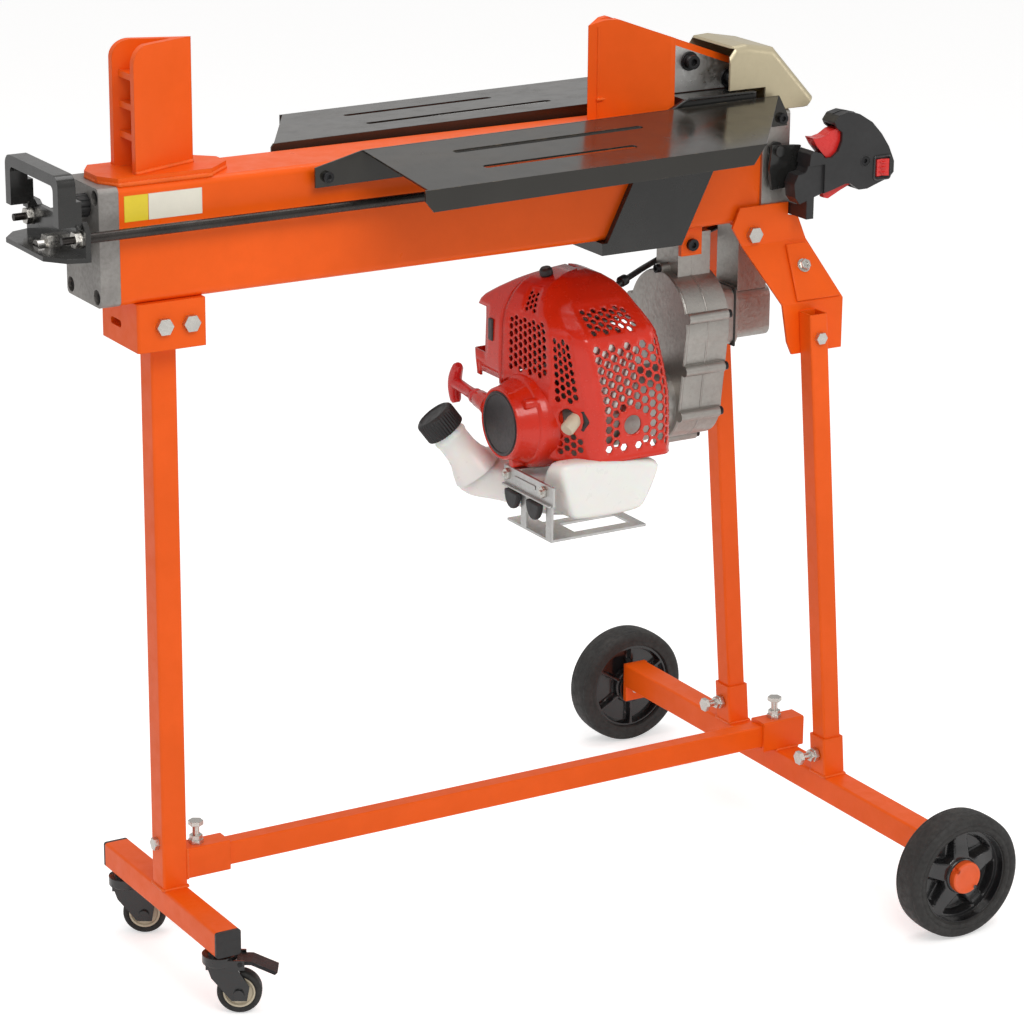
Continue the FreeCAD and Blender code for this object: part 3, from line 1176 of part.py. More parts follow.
# ---------------------------------------------------------------- build and export
# Each function name is the file name; those in PAIRED take a side and get its suffix.
SINGLE = (
    beam_tank, front_end_cap, breather_plug, rear_valve_block, cylinder_tube, piston_rod,
    splitting_wedge, front_leg_bracket, front_foot_frame, foot_plugs, lower_rail,
    rear_axle_beam, rear_bracket, hex_bolts, clamp_screws, wheel_axle_bolts, caster_brake,
    tray_screws, carriage_collar, tie_rods, ram_nuts, cross_plate, pusher_plough,
    pusher_side_plates, pusher_bolts, rear_cover, valve_lever, throttle_grip,
    throttle_trigger, lockout_lever, stop_switch, engine_block, crankshaft, driven_gear,
    gearbox_front, gearbox_rear, socket_screws, pump_body, engine_cover, filter_cover,
    recoil_housing, recoil_badge, pull_handle, muffler, fuel_tank, fuel_cap,
    stand_bracket, throttle_cable)
PAIRED = (rear_leg, wheel, hub_cap, caster_fork, caster_wheel, log_tray)

parts = {build.__name__: build() for build in SINGLE}
for build in PAIRED:
    parts[build.__name__ + "_near"] = build(NEAR)
    parts[build.__name__ + "_far"] = build(FAR)

for name, shape in sorted(parts.items()):
    shape.translate(Vector(SHIFT_X, 0, 0))
    shape.exportStep("parts/%s.step" % name)
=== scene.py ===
"""Looks for a log splitter whose beam runs along x.

The drawing is in millimetres: x runs from the wedge and caster end (front) to the large wheels
(rear), -y is the near side, +y the far side, and z = 0 is the floor. The engine hangs below the
beam. Sizes are millimetres of the drawing unless a comment says otherwise.
"""
import bpy, bmesh, math, random
from mathutils import Vector, Matrix
from mathutils.geometry import delaunay_2d_cdt

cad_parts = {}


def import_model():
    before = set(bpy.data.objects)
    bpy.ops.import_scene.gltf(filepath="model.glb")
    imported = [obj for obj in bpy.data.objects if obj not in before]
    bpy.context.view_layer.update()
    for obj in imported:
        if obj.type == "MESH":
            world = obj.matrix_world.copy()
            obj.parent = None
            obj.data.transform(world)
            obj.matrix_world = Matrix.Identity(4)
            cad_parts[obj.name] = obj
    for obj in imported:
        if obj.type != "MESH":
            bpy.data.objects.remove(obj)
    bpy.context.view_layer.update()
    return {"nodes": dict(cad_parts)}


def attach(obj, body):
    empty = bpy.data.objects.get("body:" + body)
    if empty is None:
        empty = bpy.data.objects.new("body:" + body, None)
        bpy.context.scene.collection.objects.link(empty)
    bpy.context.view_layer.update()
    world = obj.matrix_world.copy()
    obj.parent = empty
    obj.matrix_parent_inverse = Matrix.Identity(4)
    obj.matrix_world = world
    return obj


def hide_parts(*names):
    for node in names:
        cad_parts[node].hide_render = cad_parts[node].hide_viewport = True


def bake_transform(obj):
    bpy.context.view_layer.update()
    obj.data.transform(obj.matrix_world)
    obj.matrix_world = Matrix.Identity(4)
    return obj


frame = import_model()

random.seed(7)

DRAWING_X = 285.3                          # drawing x that lies at the frame's origin
SIDES = (("near", -1), ("far", 1))         # name and sign of y
CRANK_Z = 582                              # height of the engine shaft, which runs along x at y = 0
SEAM_Y = 33.0                              # joint between engine cover and filter cover
BRACKET_X = 344.9                          # front face of the bracket under the recoil housing
CORD_EXIT = Vector((344, 30, 590))
CORD_AXIS = Vector((0, 1, 0.1)).normalized()


def metres(point):
    """Millimetres of the drawing to metres of the frame."""
    x, y, z = point
    return Vector(((x - DRAWING_X) / 1000.0, y / 1000.0, z / 1000.0))


# ------------------------------------------------------------------ shader nodes
class Graph:
    """Adds nodes to one node tree; an input is given as a value or as a socket to link."""

    def __init__(self, tree):
        self.tree = tree

    def fill(self, node, values):
        for key, value in values.items():
            if isinstance(value, bpy.types.NodeSocket):
                self.tree.links.new(value, node.inputs[key])
            else:
                node.inputs[key].default_value = value

    def node(self, kind, values={}, **settings):
        made = self.tree.nodes.new(kind)
        for key, value in settings.items():
            setattr(made, key, value)
        self.fill(made, values)
        return made

    def noise(self, place, scale, detail, rough):
        values = {"Scale": scale, "Detail": detail, "Roughness": rough, "Vector": place}
        return self.node("ShaderNodeTexNoise", values).outputs["Fac"]

    def remap(self, source, to, span=(0.0, 1.0)):
        values = {"From Min": span[0], "From Max": span[1], "To Min": to[0], "To Max": to[1],
                  "Value": source}
        return self.node("ShaderNodeMapRange", values).outputs["Result"]

    def mix(self, factor, first, second):
        """Colour mix; a plain colour is an RGB tuple."""
        values = {0: factor}
        for key, value in ((6, first), (7, second)):
            values[key] = (*value, 1.0) if isinstance(value, tuple) else value
        return self.node("ShaderNodeMix", values, data_type="RGBA").outputs[2]

    def math(self, operation, first, second, clamp=False):
        return self.node("ShaderNodeMath", {0: first, 1: second},
                         operation=operation, use_clamp=clamp).outputs[0]

    def rounded_normal(self, radius):
        return self.node("ShaderNodeBevel", {"Radius": radius}, samples=3).outputs["Normal"]


# ------------------------------------------------------------------ materials
def material(name, colour, finish, edge=None, edge_radius=0.0012, round_radius=0.0009,
             coat=0.0, rough_range=0.12, dust_and_reflection=0.12, dust_and_reflection_colour=(0.42, 0.36, 0.29), sss=0.0,
             scuffs=None, spec=0.5, stretch=None):
    """One mottled, dusty surface; on the orange and tray coats the edge and dust colours are
    painted highlight and reflection. Lengths are metres; edge is (colour of wear and painted edge
    highlight, amount).
    """
    rough, metal, vary, vary_scale, bump, bump_scale, bump_depth = finish
    made = bpy.data.materials.new(name)
    made.use_nodes = True
    graph = Graph(made.node_tree)
    shader = graph.tree.nodes["Principled BSDF"]
    place = graph.node("ShaderNodeTexCoord").outputs["Object"]
    bump_place = place
    if stretch:
        mapping = graph.node("ShaderNodeMapping", {"Scale": stretch, "Vector": place})
        bump_place = mapping.outputs["Vector"]

    # broad and fine mottling of colour and roughness
    broad = graph.noise(place, scale=vary_scale, detail=3.0, rough=0.55)
    fine = graph.noise(place, scale=vary_scale * 9, detail=5.0, rough=0.6)
    light = tuple(min(1.0, c * (1 + vary) + 0.004) for c in colour)
    dark = tuple(c * (1 - vary) for c in colour)
    darkest = tuple(c * (1 - 1.6 * vary) for c in colour)
    base = graph.mix(graph.remap(broad, span=(0.3, 0.7), to=(0.0, 1.0)), dark, light)
    base = graph.mix(graph.remap(fine, span=(0.35, 0.75), to=(0.0, 0.35)), base, darkest)
    rough_ends = (max(0.03, rough - rough_range * 0.5), min(1.0, rough + rough_range))
    roughness = graph.remap(fine, span=(0.3, 0.7), to=rough_ends)

    # dust settles on faces that look up; with the tray's warm colour this mask is a painted
    # reflection on its upper faces
    normal = graph.node("ShaderNodeNewGeometry").outputs["Normal"]
    normal_z = graph.node("ShaderNodeSeparateXYZ", {0: normal}).outputs["Z"]
    upward = graph.remap(normal_z, span=(0.4, 1.0), to=(0.0, 1.0))
    specks = graph.noise(place, scale=vary_scale * 3, detail=6.0, rough=0.7)
    specks = graph.remap(specks, span=(0.45, 0.8), to=(0.0, dust_and_reflection))
    dust_and_reflection_mask = graph.math("MULTIPLY", upward, specks)
    base = graph.mix(dust_and_reflection_mask, base, dust_and_reflection_colour)
    dust_rough = graph.math("MULTIPLY", dust_and_reflection_mask, 0.35)
    roughness = graph.math("ADD", roughness, dust_rough, clamp=True)

    soft_normal = graph.rounded_normal(round_radius)
    if edge:
        # wear shows where the rounded normal leaves the true one; the light orange of the orange
        # coats and the warm tone of the tray here are painted edge highlights, not wear
        wear_and_highlight_colour, wear_and_highlight_amount = edge
        dot = graph.node("ShaderNodeVectorMath",
                         {0: graph.rounded_normal(edge_radius), 1: normal},
                         operation="DOT_PRODUCT").outputs["Value"]
        turn = graph.math("SUBTRACT", 1.0, dot, clamp=True)
        turn = graph.remap(turn, span=(0.03, 0.22), to=(0.0, 1.0))
        chips = graph.noise(place, scale=70.0, detail=5.0, rough=0.7)
        chips = graph.remap(chips, span=(0.52, 0.62), to=(0.0, wear_and_highlight_amount))
        base = graph.mix(graph.math("MULTIPLY", turn, chips), base, wear_and_highlight_colour)
    if scuffs:
        mapping = graph.node("ShaderNodeMapping", {"Scale": scuffs["stretch"], "Vector": place})
        above = scuffs["above"]
        mask = graph.noise(mapping.outputs["Vector"], scale=scuffs["scale"], detail=8.0, rough=0.75)
        mask = graph.remap(mask, span=(above, above + 0.06), to=(0.0, scuffs["amount"]))
        base = graph.mix(mask, base, scuffs["colour"])
        scuff_rough = graph.math("MULTIPLY", mask, 0.25)
        roughness = graph.math("ADD", roughness, scuff_rough, clamp=True)

    grain = graph.noise(bump_place, scale=bump_scale, detail=3.0, rough=0.6)
    bumped = graph.node("ShaderNodeBump", {"Strength": bump, "Distance": bump_depth,
                                           "Height": grain, "Normal": soft_normal})
    graph.fill(shader, {
        "Base Color": base, "Roughness": roughness, "Metallic": metal,
        "Specular IOR Level": spec, "Coat Weight": coat, "Coat Roughness": 0.12,
        "Normal": bumped.outputs["Normal"]})
    if sss:
        graph.fill(shader, {"Subsurface Weight": sss, "Subsurface Scale": 0.02})
    return made


ORANGE = (0.86, 0.105, 0.002)
# key: name, colour, (roughness, metallic, colour variation, variation scale,
#                     bump strength, bump scale, bump distance in metres), other settings
MATERIALS = {
    # the light edge colour of this coat is a painted highlight on rounded edges
    "orange": ("orange_powder_coat", ORANGE, (0.36, 0.0, 0.07, 6.0, 0.20, 300.0, 0.0006), dict(
        edge=((0.95, 0.30, 0.08), 0.45), coat=0.04, spec=0.22, dust_and_reflection=0.02,
        scuffs=dict(colour=(0.50, 0.10, 0.03), amount=0.35, above=0.70, scale=26.0,
                    stretch=(1.0, 1.6, 1.6)))),
    # the light edge colour of this coat is a painted highlight on rounded edges
    "orange_worn": ("orange_coat_beam", ORANGE, (0.33, 0.0, 0.07, 5.0, 0.20, 260.0, 0.0006), dict(
        edge=((0.96, 0.36, 0.12), 0.5), coat=0.05, spec=0.22, dust_and_reflection=0.02,
        scuffs=dict(colour=(0.42, 0.12, 0.05), amount=0.6, above=0.665, scale=20.0,
                    stretch=(0.8, 1.8, 2.2)))),
    "weld": ("orange_weld_bead", (0.84, 0.12, 0.006),
             (0.34, 0.0, 0.12, 30.0, 0.5, 260.0, 0.0010), dict(coat=0.12, spec=0.3, dust_and_reflection=0.03)),
    "blackpaint": ("black_satin_coat", (0.018, 0.018, 0.017),
                   (0.17, 0.12, 0.25, 7.0, 0.10, 240.0, 0.0004), dict(
        edge=((0.16, 0.15, 0.14), 0.45), coat=0.35, dust_and_reflection=0.05,
        scuffs=dict(colour=(0.09, 0.08, 0.07), amount=0.25, above=0.68, scale=18.0,
                    stretch=(0.7, 2.0, 2.0)))),
    # the tray's warm dust colour and warm edge colour are a painted reflection on its upper faces
    # and edges
    "tray": ("gloss_black_tray", (0.020, 0.018, 0.014),
             (0.15, 0.10, 0.2, 5.0, 0.03, 60.0, 0.0003), dict(
        edge=((0.5, 0.36, 0.2), 0.5), edge_radius=0.0010, coat=0.35, dust_and_reflection=0.10,
        dust_and_reflection_colour=(0.22, 0.14, 0.07))),
    "zinc": ("bright_zinc_plate", (0.66, 0.64, 0.60),
             (0.26, 1.0, 0.10, 30.0, 0.12, 500.0, 0.0003), dict(dust_and_reflection=0.06, rough_range=0.18)),
    "plate": ("brushed_plate", (0.58, 0.58, 0.57), (0.34, 1.0, 0.08, 22.0, 0.25, 260.0, 0.0003),
              dict(stretch=(1.0, 1.0, 9.0), dust_and_reflection=0.05, rough_range=0.2)),
    "oxide": ("black_oxide_steel", (0.022, 0.022, 0.024),
              (0.30, 0.6, 0.3, 40.0, 0.15, 500.0, 0.0003),
              dict(edge=((0.3, 0.29, 0.28), 0.4), dust_and_reflection=0.05)),
    "castgrey": ("cast_iron_cap", (0.33, 0.315, 0.30),
                 (0.50, 0.85, 0.14, 24.0, 0.55, 240.0, 0.0009), dict(
        dust_and_reflection=0.08, rough_range=0.2,
        scuffs=dict(colour=(0.17, 0.12, 0.08), amount=0.35, above=0.68, scale=30.0,
                    stretch=(1, 1, 1)))),
    "chrome": ("ground_rod", (0.62, 0.60, 0.57), (0.16, 1.0, 0.06, 20.0, 0.05, 700.0, 0.0002),
               dict(stretch=(0.2, 1, 1), dust_and_reflection=0.02)),
    "darkrod": ("dark_tie_rod", (0.05, 0.045, 0.042),
                (0.26, 0.8, 0.25, 20.0, 0.08, 500.0, 0.0002), dict(dust_and_reflection=0.03)),
    "castalloy": ("die_cast_alloy", (0.40, 0.385, 0.36),
                  (0.36, 0.9, 0.08, 26.0, 0.45, 300.0, 0.0008),
                  dict(edge=((0.8, 0.78, 0.75), 0.5), dust_and_reflection=0.06, rough_range=0.16)),
    "champagne": ("champagne_cover", (0.56, 0.49, 0.33),
                  (0.36, 0.55, 0.08, 12.0, 0.14, 360.0, 0.0005),
                  dict(edge=((0.7, 0.64, 0.55), 0.4), coat=0.2, dust_and_reflection=0.05)),
    "red": ("glossy_red_moulding", (0.66, 0.022, 0.005),
            (0.20, 0.0, 0.06, 12.0, 0.05, 160.0, 0.0004),
            dict(coat=0.35, spec=0.35, dust_and_reflection=0.01, round_radius=0.0016)),
    "redtrim": ("red_trigger_moulding", (0.66, 0.018, 0.015),
                (0.26, 0.0, 0.06, 20.0, 0.06, 260.0, 0.0003),
                dict(coat=0.3, dust_and_reflection=0.02, round_radius=0.0012)),
    "black": ("black_moulding", (0.014, 0.014, 0.015),
              (0.40, 0.0, 0.2, 16.0, 0.30, 700.0, 0.0004), dict(dust_and_reflection=0.06, round_radius=0.0014)),
    "glossblack": ("gloss_black_hub", (0.010, 0.010, 0.011),
                   (0.16, 0.0, 0.2, 16.0, 0.05, 120.0, 0.0004),
                   dict(coat=0.5, dust_and_reflection=0.05, round_radius=0.0014)),
    "rubber": ("tyre_rubber", (0.020, 0.019, 0.018), (0.60, 0.0, 0.25, 18.0, 0.45, 420.0, 0.0007),
               dict(dust_and_reflection=0.30, dust_and_reflection_colour=(0.16, 0.14, 0.12), rough_range=0.2)),
    "tank": ("translucent_tank", (0.86, 0.86, 0.83), (0.30, 0.0, 0.03, 9.0, 0.08, 200.0, 0.0005),
             dict(sss=0.35, dust_and_reflection=0.05, coat=0.15, round_radius=0.002)),
    "caporange": ("orange_hub_cap", (0.80, 0.10, 0.012),
                  (0.34, 0.0, 0.06, 22.0, 0.10, 300.0, 0.0004), dict(dust_and_reflection=0.05)),
    "badge": ("grey_recoil_disc", (0.055, 0.050, 0.052),
              (0.38, 0.3, 0.2, 30.0, 0.20, 380.0, 0.0004), dict(dust_and_reflection=0.05)),
    "cream": ("cream_moulding", (0.62, 0.54, 0.40),
              (0.45, 0.0, 0.08, 30.0, 0.12, 400.0, 0.0004), dict(dust_and_reflection=0.05)),
    "cable": ("cable_sheath", (0.012, 0.012, 0.012),
              (0.34, 0.0, 0.2, 40.0, 0.25, 600.0, 0.0004), dict(dust_and_reflection=0.05)),
    "dark": ("dark_steel", (0.05, 0.048, 0.046),
             (0.5, 0.7, 0.2, 30.0, 0.2, 400.0, 0.0004), dict(dust_and_reflection=0.05)),
    "gasket": ("dark_gasket", (0.03, 0.028, 0.026),
               (0.6, 0.0, 0.2, 30.0, 0.2, 400.0, 0.0004), dict(dust_and_reflection=0.03)),
    "cream_light": ("plain_white_plaque", (0.80, 0.77, 0.66),
                    (0.35, 0.0, 0.04, 30.0, 0.05, 400.0, 0.0002), dict(dust_and_reflection=0.03)),
    "yellow": ("plain_yellow_plaque", (0.80, 0.62, 0.03),
               (0.35, 0.0, 0.05, 30.0, 0.05, 400.0, 0.0003), dict(dust_and_reflection=0.02)),
}
made_materials = {key: material(name, colour, finish, **other)
                  for key, (name, colour, finish, other) in MATERIALS.items()}

# CAD pieces by material
PIECES = {
    "orange_worn": "beam_tank",
    "orange": "front_foot_frame front_leg_bracket lower_rail pusher_plough rear_axle_beam "
              "rear_bracket rear_leg_far rear_leg_near splitting_wedge",
    "black": "breather_plug foot_plugs fuel_cap throttle_grip",
    "blackpaint": "carriage_collar cross_plate valve_lever",
    "oxide": "caster_brake pusher_bolts socket_screws tray_screws",
    "glossblack": "caster_fork_far caster_fork_near",
    "rubber": "caster_wheel_far caster_wheel_near wheel_far wheel_near",
    "zinc": "clamp_screws hex_bolts muffler ram_nuts wheel_axle_bolts",
    "chrome": "crankshaft piston_rod",
    "dark": "cylinder_tube driven_gear",
    "castalloy": "engine_block gearbox_front gearbox_rear pump_body rear_valve_block",
    "red": "engine_cover filter_cover recoil_housing",
    "redtrim": "lockout_lever pull_handle stop_switch throttle_trigger",
    "castgrey": "front_end_cap",
    "tank": "fuel_tank",
    "caporange": "hub_cap_far hub_cap_near",
    "tray": "log_tray_far log_tray_near",
    "plate": "pusher_side_plates stand_bracket",
    "champagne": "rear_cover",
    "badge": "recoil_badge",
    "cable": "throttle_cable",
    "darkrod": "tie_rods",
}
piece_material = {piece: key for key, pieces in PIECES.items() for piece in pieces.split()}
for piece, cad_object in frame["nodes"].items():
    cad_object.data.materials.clear()
    cad_object.data.materials.append(made_materials[piece_material[piece]])
    for polygon in cad_object.data.polygons:
        polygon.material_index = 0


# ------------------------------------------------------------------ mesh helpers
# A mesh is a pair: vertices in metres, and faces as lists of vertex numbers.
def add(name, mesh, mat, body="frame", angle=32.0):
    """Makes a smooth object with edges sharper than angle (degrees) kept sharp."""
    verts, faces = mesh
    data = bpy.data.meshes.new(name)
    data.from_pydata([tuple(v) for v in verts], [], [tuple(f) for f in faces])
    bm = bmesh.new()
    bm.from_mesh(data)
    bmesh.ops.remove_doubles(bm, verts=bm.verts, dist=1e-6)
    bmesh.ops.recalc_face_normals(bm, faces=bm.faces)
    bm.to_mesh(data)
    bm.free()
    for polygon in data.polygons:
        polygon.use_smooth = True
    data.set_sharp_from_angle(angle=math.radians(angle))
    made = bpy.data.objects.new(name, data)
    bpy.context.scene.collection.objects.link(made)
    data.materials.append(made_materials[mat])
    if body:
        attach(made, body)
    return made


def bevel(made, width, segments):
    modifier = made.modifiers.new("edge", "BEVEL")
    modifier.width = width / 1000.0
    modifier.segments = segments
    modifier.limit_method = "ANGLE"
    modifier.angle_limit = math.radians(30)
    modifier.harden_normals = False


def solidify(made, offset):
    modifier = made.modifiers.new("wall", "SOLIDIFY")
    modifier.thickness = 0.0024    # metres
    modifier.offset = offset


def axes(direction):
    """The unit direction and two unit vectors across it."""
    along = Vector(direction).normalized()
    across = Vector((0, 0, 1)) if abs(along.z) < 0.9 else Vector((1, 0, 0))
    across = (across - along * across.dot(along)).normalized()
    return along, across, along.cross(across)


def turned(profile, centre, axis, sides):
    """Turns (radius, distance along the axis) points; profile may be a function of the angle."""
    along, across, third = axes(axis)
    centre = Vector(centre)
    verts, faces = [], []
    for k in range(sides):
        angle = 2 * math.pi * k / sides
        outward = across * math.cos(angle) + third * math.sin(angle)
        points = profile(angle) if callable(profile) else profile
        verts += [metres(centre + along * h + outward * r) for r, h in points]
    m = len(points)
    for k in range(sides):
        k2 = (k + 1) % sides
        for i in range(m - 1):
            faces.append([k * m + i, k * m + i + 1, k2 * m + i + 1, k2 * m + i])
    return verts, faces


def merged(*meshes):
    verts, faces = [], []
    for part_verts, part_faces in meshes:
        first = len(verts)
        verts += part_verts
        faces += [[i + first for i in face] for face in part_faces]
    return verts, faces


def prism(outline, depth):
    """Extrudes an outline by the vector depth."""
    n = len(outline)
    start = [Vector(p) for p in outline]
    verts = [metres(p) for p in start] + [metres(p + Vector(depth)) for p in start]
    faces = [list(range(n))[::-1], list(range(n, 2 * n))]
    faces += [[i, (i + 1) % n, n + (i + 1) % n, n + i] for i in range(n)]
    return verts, faces


def rectangle_yz(x, y0, y1, z0, z1):
    return [(x, y0, z0), (x, y1, z0), (x, y1, z1), (x, y0, z1)]


def ring_faces(rings, n, caps=True):
    """Faces that join successive rings of n points."""
    faces = []
    for i in range(rings - 1):
        for k in range(n):
            k2 = (k + 1) % n
            faces.append([i * n + k, i * n + k2, (i + 1) * n + k2, (i + 1) * n + k])
    if caps:
        faces.append(list(range(n))[::-1])
        faces.append([(rings - 1) * n + k for k in range(n)])
    return faces


def swept(path, radius, sides, caps=True):
    """A round tube along a path; radius is one number or a list with one per point."""
    path = [Vector(p) for p in path]
    last = len(path) - 1
    verts = []
    across = None
    for i, point in enumerate(path):
        along = (path[min(i + 1, last)] - path[max(i - 1, 0)]).normalized()
        if across is None:
            _, across, third = axes(along)
        else:
            across = (across - along * across.dot(along)).normalized()
            third = along.cross(across)
        r = radius[i] if isinstance(radius, list) else radius
        for k in range(sides):
            a = 2 * math.pi * k / sides
            verts.append(metres(point + (across * math.cos(a) + third * math.sin(a)) * r))
    return verts, ring_faces(len(path), sides, caps)


def weld(name, radius, corners, body="frame", mat="weld"):
    """A lumpy bead along a polyline."""
    step = 2.2
    path, radii = [], []
    for a, b in zip(corners[:-1], corners[1:]):
        a, b = Vector(a), Vector(b)
        count = max(2, int((b - a).length / step))
        for i in range(count):
            path.append(a + (b - a) * (i / count))
            radii.append(radius * (0.85 + 0.3 * (i % 2) + 0.12 * random.random()))
    path.append(Vector(corners[-1]))
    radii.append(radius * 0.6)
    add("weld_" + name, swept(path, radii, 8), mat, body, angle=80)


def interpolate(stations, at):
    """Linear reading of (position, value) stations, held at both ends."""
    if at <= stations[0][0]:
        return stations[0][1]
    for (a, p), (b, q) in zip(stations[:-1], stations[1:]):
        if at <= b:
            return p + (q - p) * (at - a) / (b - a)
    return stations[-1][1]


# ------------------------------------------------------------------ engine cover
# The skin is laid out flat: u runs round it from the front seam by the near side to the rear
# seam, v runs up it. Outlines are (z, value).
COVER_FRONT_X = [(545, 358), (575, 356), (600, 355), (640, 355), (690, 356), (702, 358),
                 (712, 362), (725, 370), (735, 380), (741, 392), (745, 408), (747.5, 424),
                 (748.5, 438)]
COVER_REAR_X = [(545, 511), (580, 510), (616, 508), (650, 501), (680, 494), (708, 487),
                (725, 480), (736, 472), (743, 462), (747, 451), (748.5, 442)]
# distance of the near wall from y = 0, towards -y
COVER_NEAR = [(545, 90), (600, 92), (650, 91), (680, 88), (690, 86), (697, 78), (703, 68),
              (714, 50), (725, 36), (735, 22), (743, 8), (747, -6), (748.5, -14)]
# the two slanted corners, counted from the front seam
CORNER_2_X = [(545, 40), (600, 40), (680, 30), (748.5, 30)]
CORNER_2_Y = [(545, 83), (600, 82), (680, 74), (748.5, 74)]
CORNER_3_X = [(545, 58), (600, 58), (680, 46), (748.5, 46)]
CORNER_U = [0.0, 82.0, 124.0, 145.0, 234.0, 248.0, 363.0]
COVER_U = CORNER_U[-1]
COVER_LOW, COVER_TOP = 545.0, 748.5
V_STEPS = 259
MIDDLE_X, MIDDLE_Y = 440.0, -10.0      # a point inside, which tells inward from outward
# perforated fields: u0, u1, z0, z1, hole pitch, half the hole's width across flats
PANELS = [
    (149.0, 243.0, 552.0, 688.0, 11.8, 4.45), (87.0, 122.0, 612.0, 692.0, 9.6, 3.5),
    (7.0, 79.0, 634.0, 702.0, 9.6, 3.5), (36.0, 62.0, 709.0, 730.0, 9.6, 3.5),
    (152.0, 222.0, 693.0, 716.0, 9.6, 3.5), (90.0, 122.0, 551.0, 582.0, 9.6, 3.5)]
COLUMN_RATIO = 0.866                   # column step of a honeycomb over its pitch
ROUND_U, ROUND_Z, ROUND_RADIUS, ROUND_CLEAR = 187.5, 586.6, 11.8, 19.8
POCKET_U, POCKET_Z, POCKET_RADIUS = 104, 598, 11
GRID = 4.0                             # spacing of the points that carry the curved skin


def v_stations():
    """(v, z) pairs; x steps are added so the honeycomb keeps its size over the shoulder."""
    stations = [(0.0, COVER_LOW)]
    for i in range(1, V_STEPS + 1):
        v, z0 = stations[-1]
        z1 = min(COVER_TOP, COVER_LOW + i * (COVER_TOP - COVER_LOW) / V_STEPS)
        across = (abs(interpolate(COVER_FRONT_X, z1) - interpolate(COVER_FRONT_X, z0))
                  + 0.6 * abs(interpolate(COVER_NEAR, z1) - interpolate(COVER_NEAR, z0)))
        stations.append((v + math.hypot(z1 - z0, min(across, 3.0 * (z1 - z0))), z1))
    return stations


Z_OF_V = v_stations()
V_OF_Z = [(z, v) for v, z in Z_OF_V]
COVER_V = Z_OF_V[-1][0]


def cover_ring(z):
    """Corners of the level section at z, from the front seam round to the rear seam."""
    front = interpolate(COVER_FRONT_X, z)
    rear = interpolate(COVER_REAR_X, z)
    near = interpolate(COVER_NEAR, z)
    sx, sy = (rear - front) / 155.0, max(near, -14.0) / 92.0
    return [(front, SEAM_Y),
            (front + 15.5 * sx, -48.0 * sy),
            (front + interpolate(CORNER_2_X, z) * sx, -interpolate(CORNER_2_Y, z) * sy),
            (front + interpolate(CORNER_3_X, z) * sx, -near),
            (rear - 10 * sx, -near),
            (rear, -near + 10 * abs(sy)),
            (rear, SEAM_Y)]


def ring_at(ring, u):
    u = max(0.0, min(COVER_U, u))
    i = next(i for i in range(6) if u <= CORNER_U[i + 1])
    t = (u - CORNER_U[i]) / (CORNER_U[i + 1] - CORNER_U[i])
    (x0, y0), (x1, y1) = ring[i], ring[i + 1]
    return x0 + (x1 - x0) * t, y0 + (y1 - y0) * t


def panel_depth(u, z):
    """How far the perforated fields sink below the outer skin."""
    margin, slope, full_depth = 5, 2.5, 1.6
    depth = 0.0
    for u0, u1, z0, z1, _, _ in PANELS:
        inside = min(u - u0 + margin, u1 + margin - u, z - z0 + margin, z1 + margin - z)
        if inside > 0:
            depth = max(depth, min(1.0, inside / slope) * full_depth)
    return depth


def cover_point(u, v):
    z = interpolate(Z_OF_V, v)
    ring = cover_ring(z)
    reach = 4.0
    x = y = 0.0
    # averaging along u rounds the corners
    for k in (-1.0, -0.5, 0.0, 0.5, 1.0):
        near_x, near_y = ring_at(ring, u + k * reach if 8 < u < 355 else u)
        x += near_x / 5
        y += near_y / 5
    depth = panel_depth(u, z)
    if depth:
        before, after = ring_at(ring, u - 3), ring_at(ring, u + 3)
        tx, ty = after[0] - before[0], after[1] - before[1]
        length = math.hypot(tx, ty) or 1.0
        nx, ny = -ty / length, tx / length
        if nx * (MIDDLE_X - x) + ny * (MIDDLE_Y - y) < 0:
            nx, ny = -nx, -ny
        x += nx * depth
        y += ny * depth
    return Vector((x, y, z))


def regular_polygon(u, v, radius, sides):
    turns = [2 * math.pi * k / sides for k in range(sides)]
    return [(u + radius * math.cos(a), v + radius * math.sin(a)) for a in turns]


def cover_holes():
    holes = []
    round_v = interpolate(V_OF_Z, ROUND_Z)
    for u0, u1, z0, z1, pitch, half in PANELS:
        v0, v1 = interpolate(V_OF_Z, z0), interpolate(V_OF_Z, z1)
        columns = int((u1 - u0 - 2 * half) / (pitch * COLUMN_RATIO)) + 1
        rows = int((v1 - v0 - 2 * half) / pitch) + 1
        first_u = (u1 - u0 - (columns - 1) * pitch * COLUMN_RATIO) / 2
        first_v = (v1 - v0 - (rows - 0.5) * pitch) / 2 + 0.25 * pitch
        for i in range(columns):
            for j in range(rows):
                u = u0 + first_u + i * pitch * COLUMN_RATIO
                v = v0 + first_v + j * pitch + (pitch / 2 if i % 2 else 0)
                if v + half > v1 + 1 or v - half < v0 - 1:
                    continue
                if (u - ROUND_U) ** 2 + (v - round_v) ** 2 < ROUND_CLEAR ** 2:
                    continue
                holes.append(regular_polygon(u, v, half / math.cos(math.radians(30)), 6))
    holes.append(regular_polygon(ROUND_U, round_v, ROUND_RADIUS, 24))
    holes.append(regular_polygon(POCKET_U, interpolate(V_OF_Z, POCKET_Z), POCKET_RADIUS, 16))
    return holes


def encloses(hole, x, y):
    result = False
    for k in range(len(hole)):
        (x0, y0), (x1, y1) = hole[k], hole[(k + 1) % len(hole)]
        if (y0 > y) != (y1 > y) and x < (x1 - x0) * (y - y0) / (y1 - y0) + x0:
            result = not result
    return result


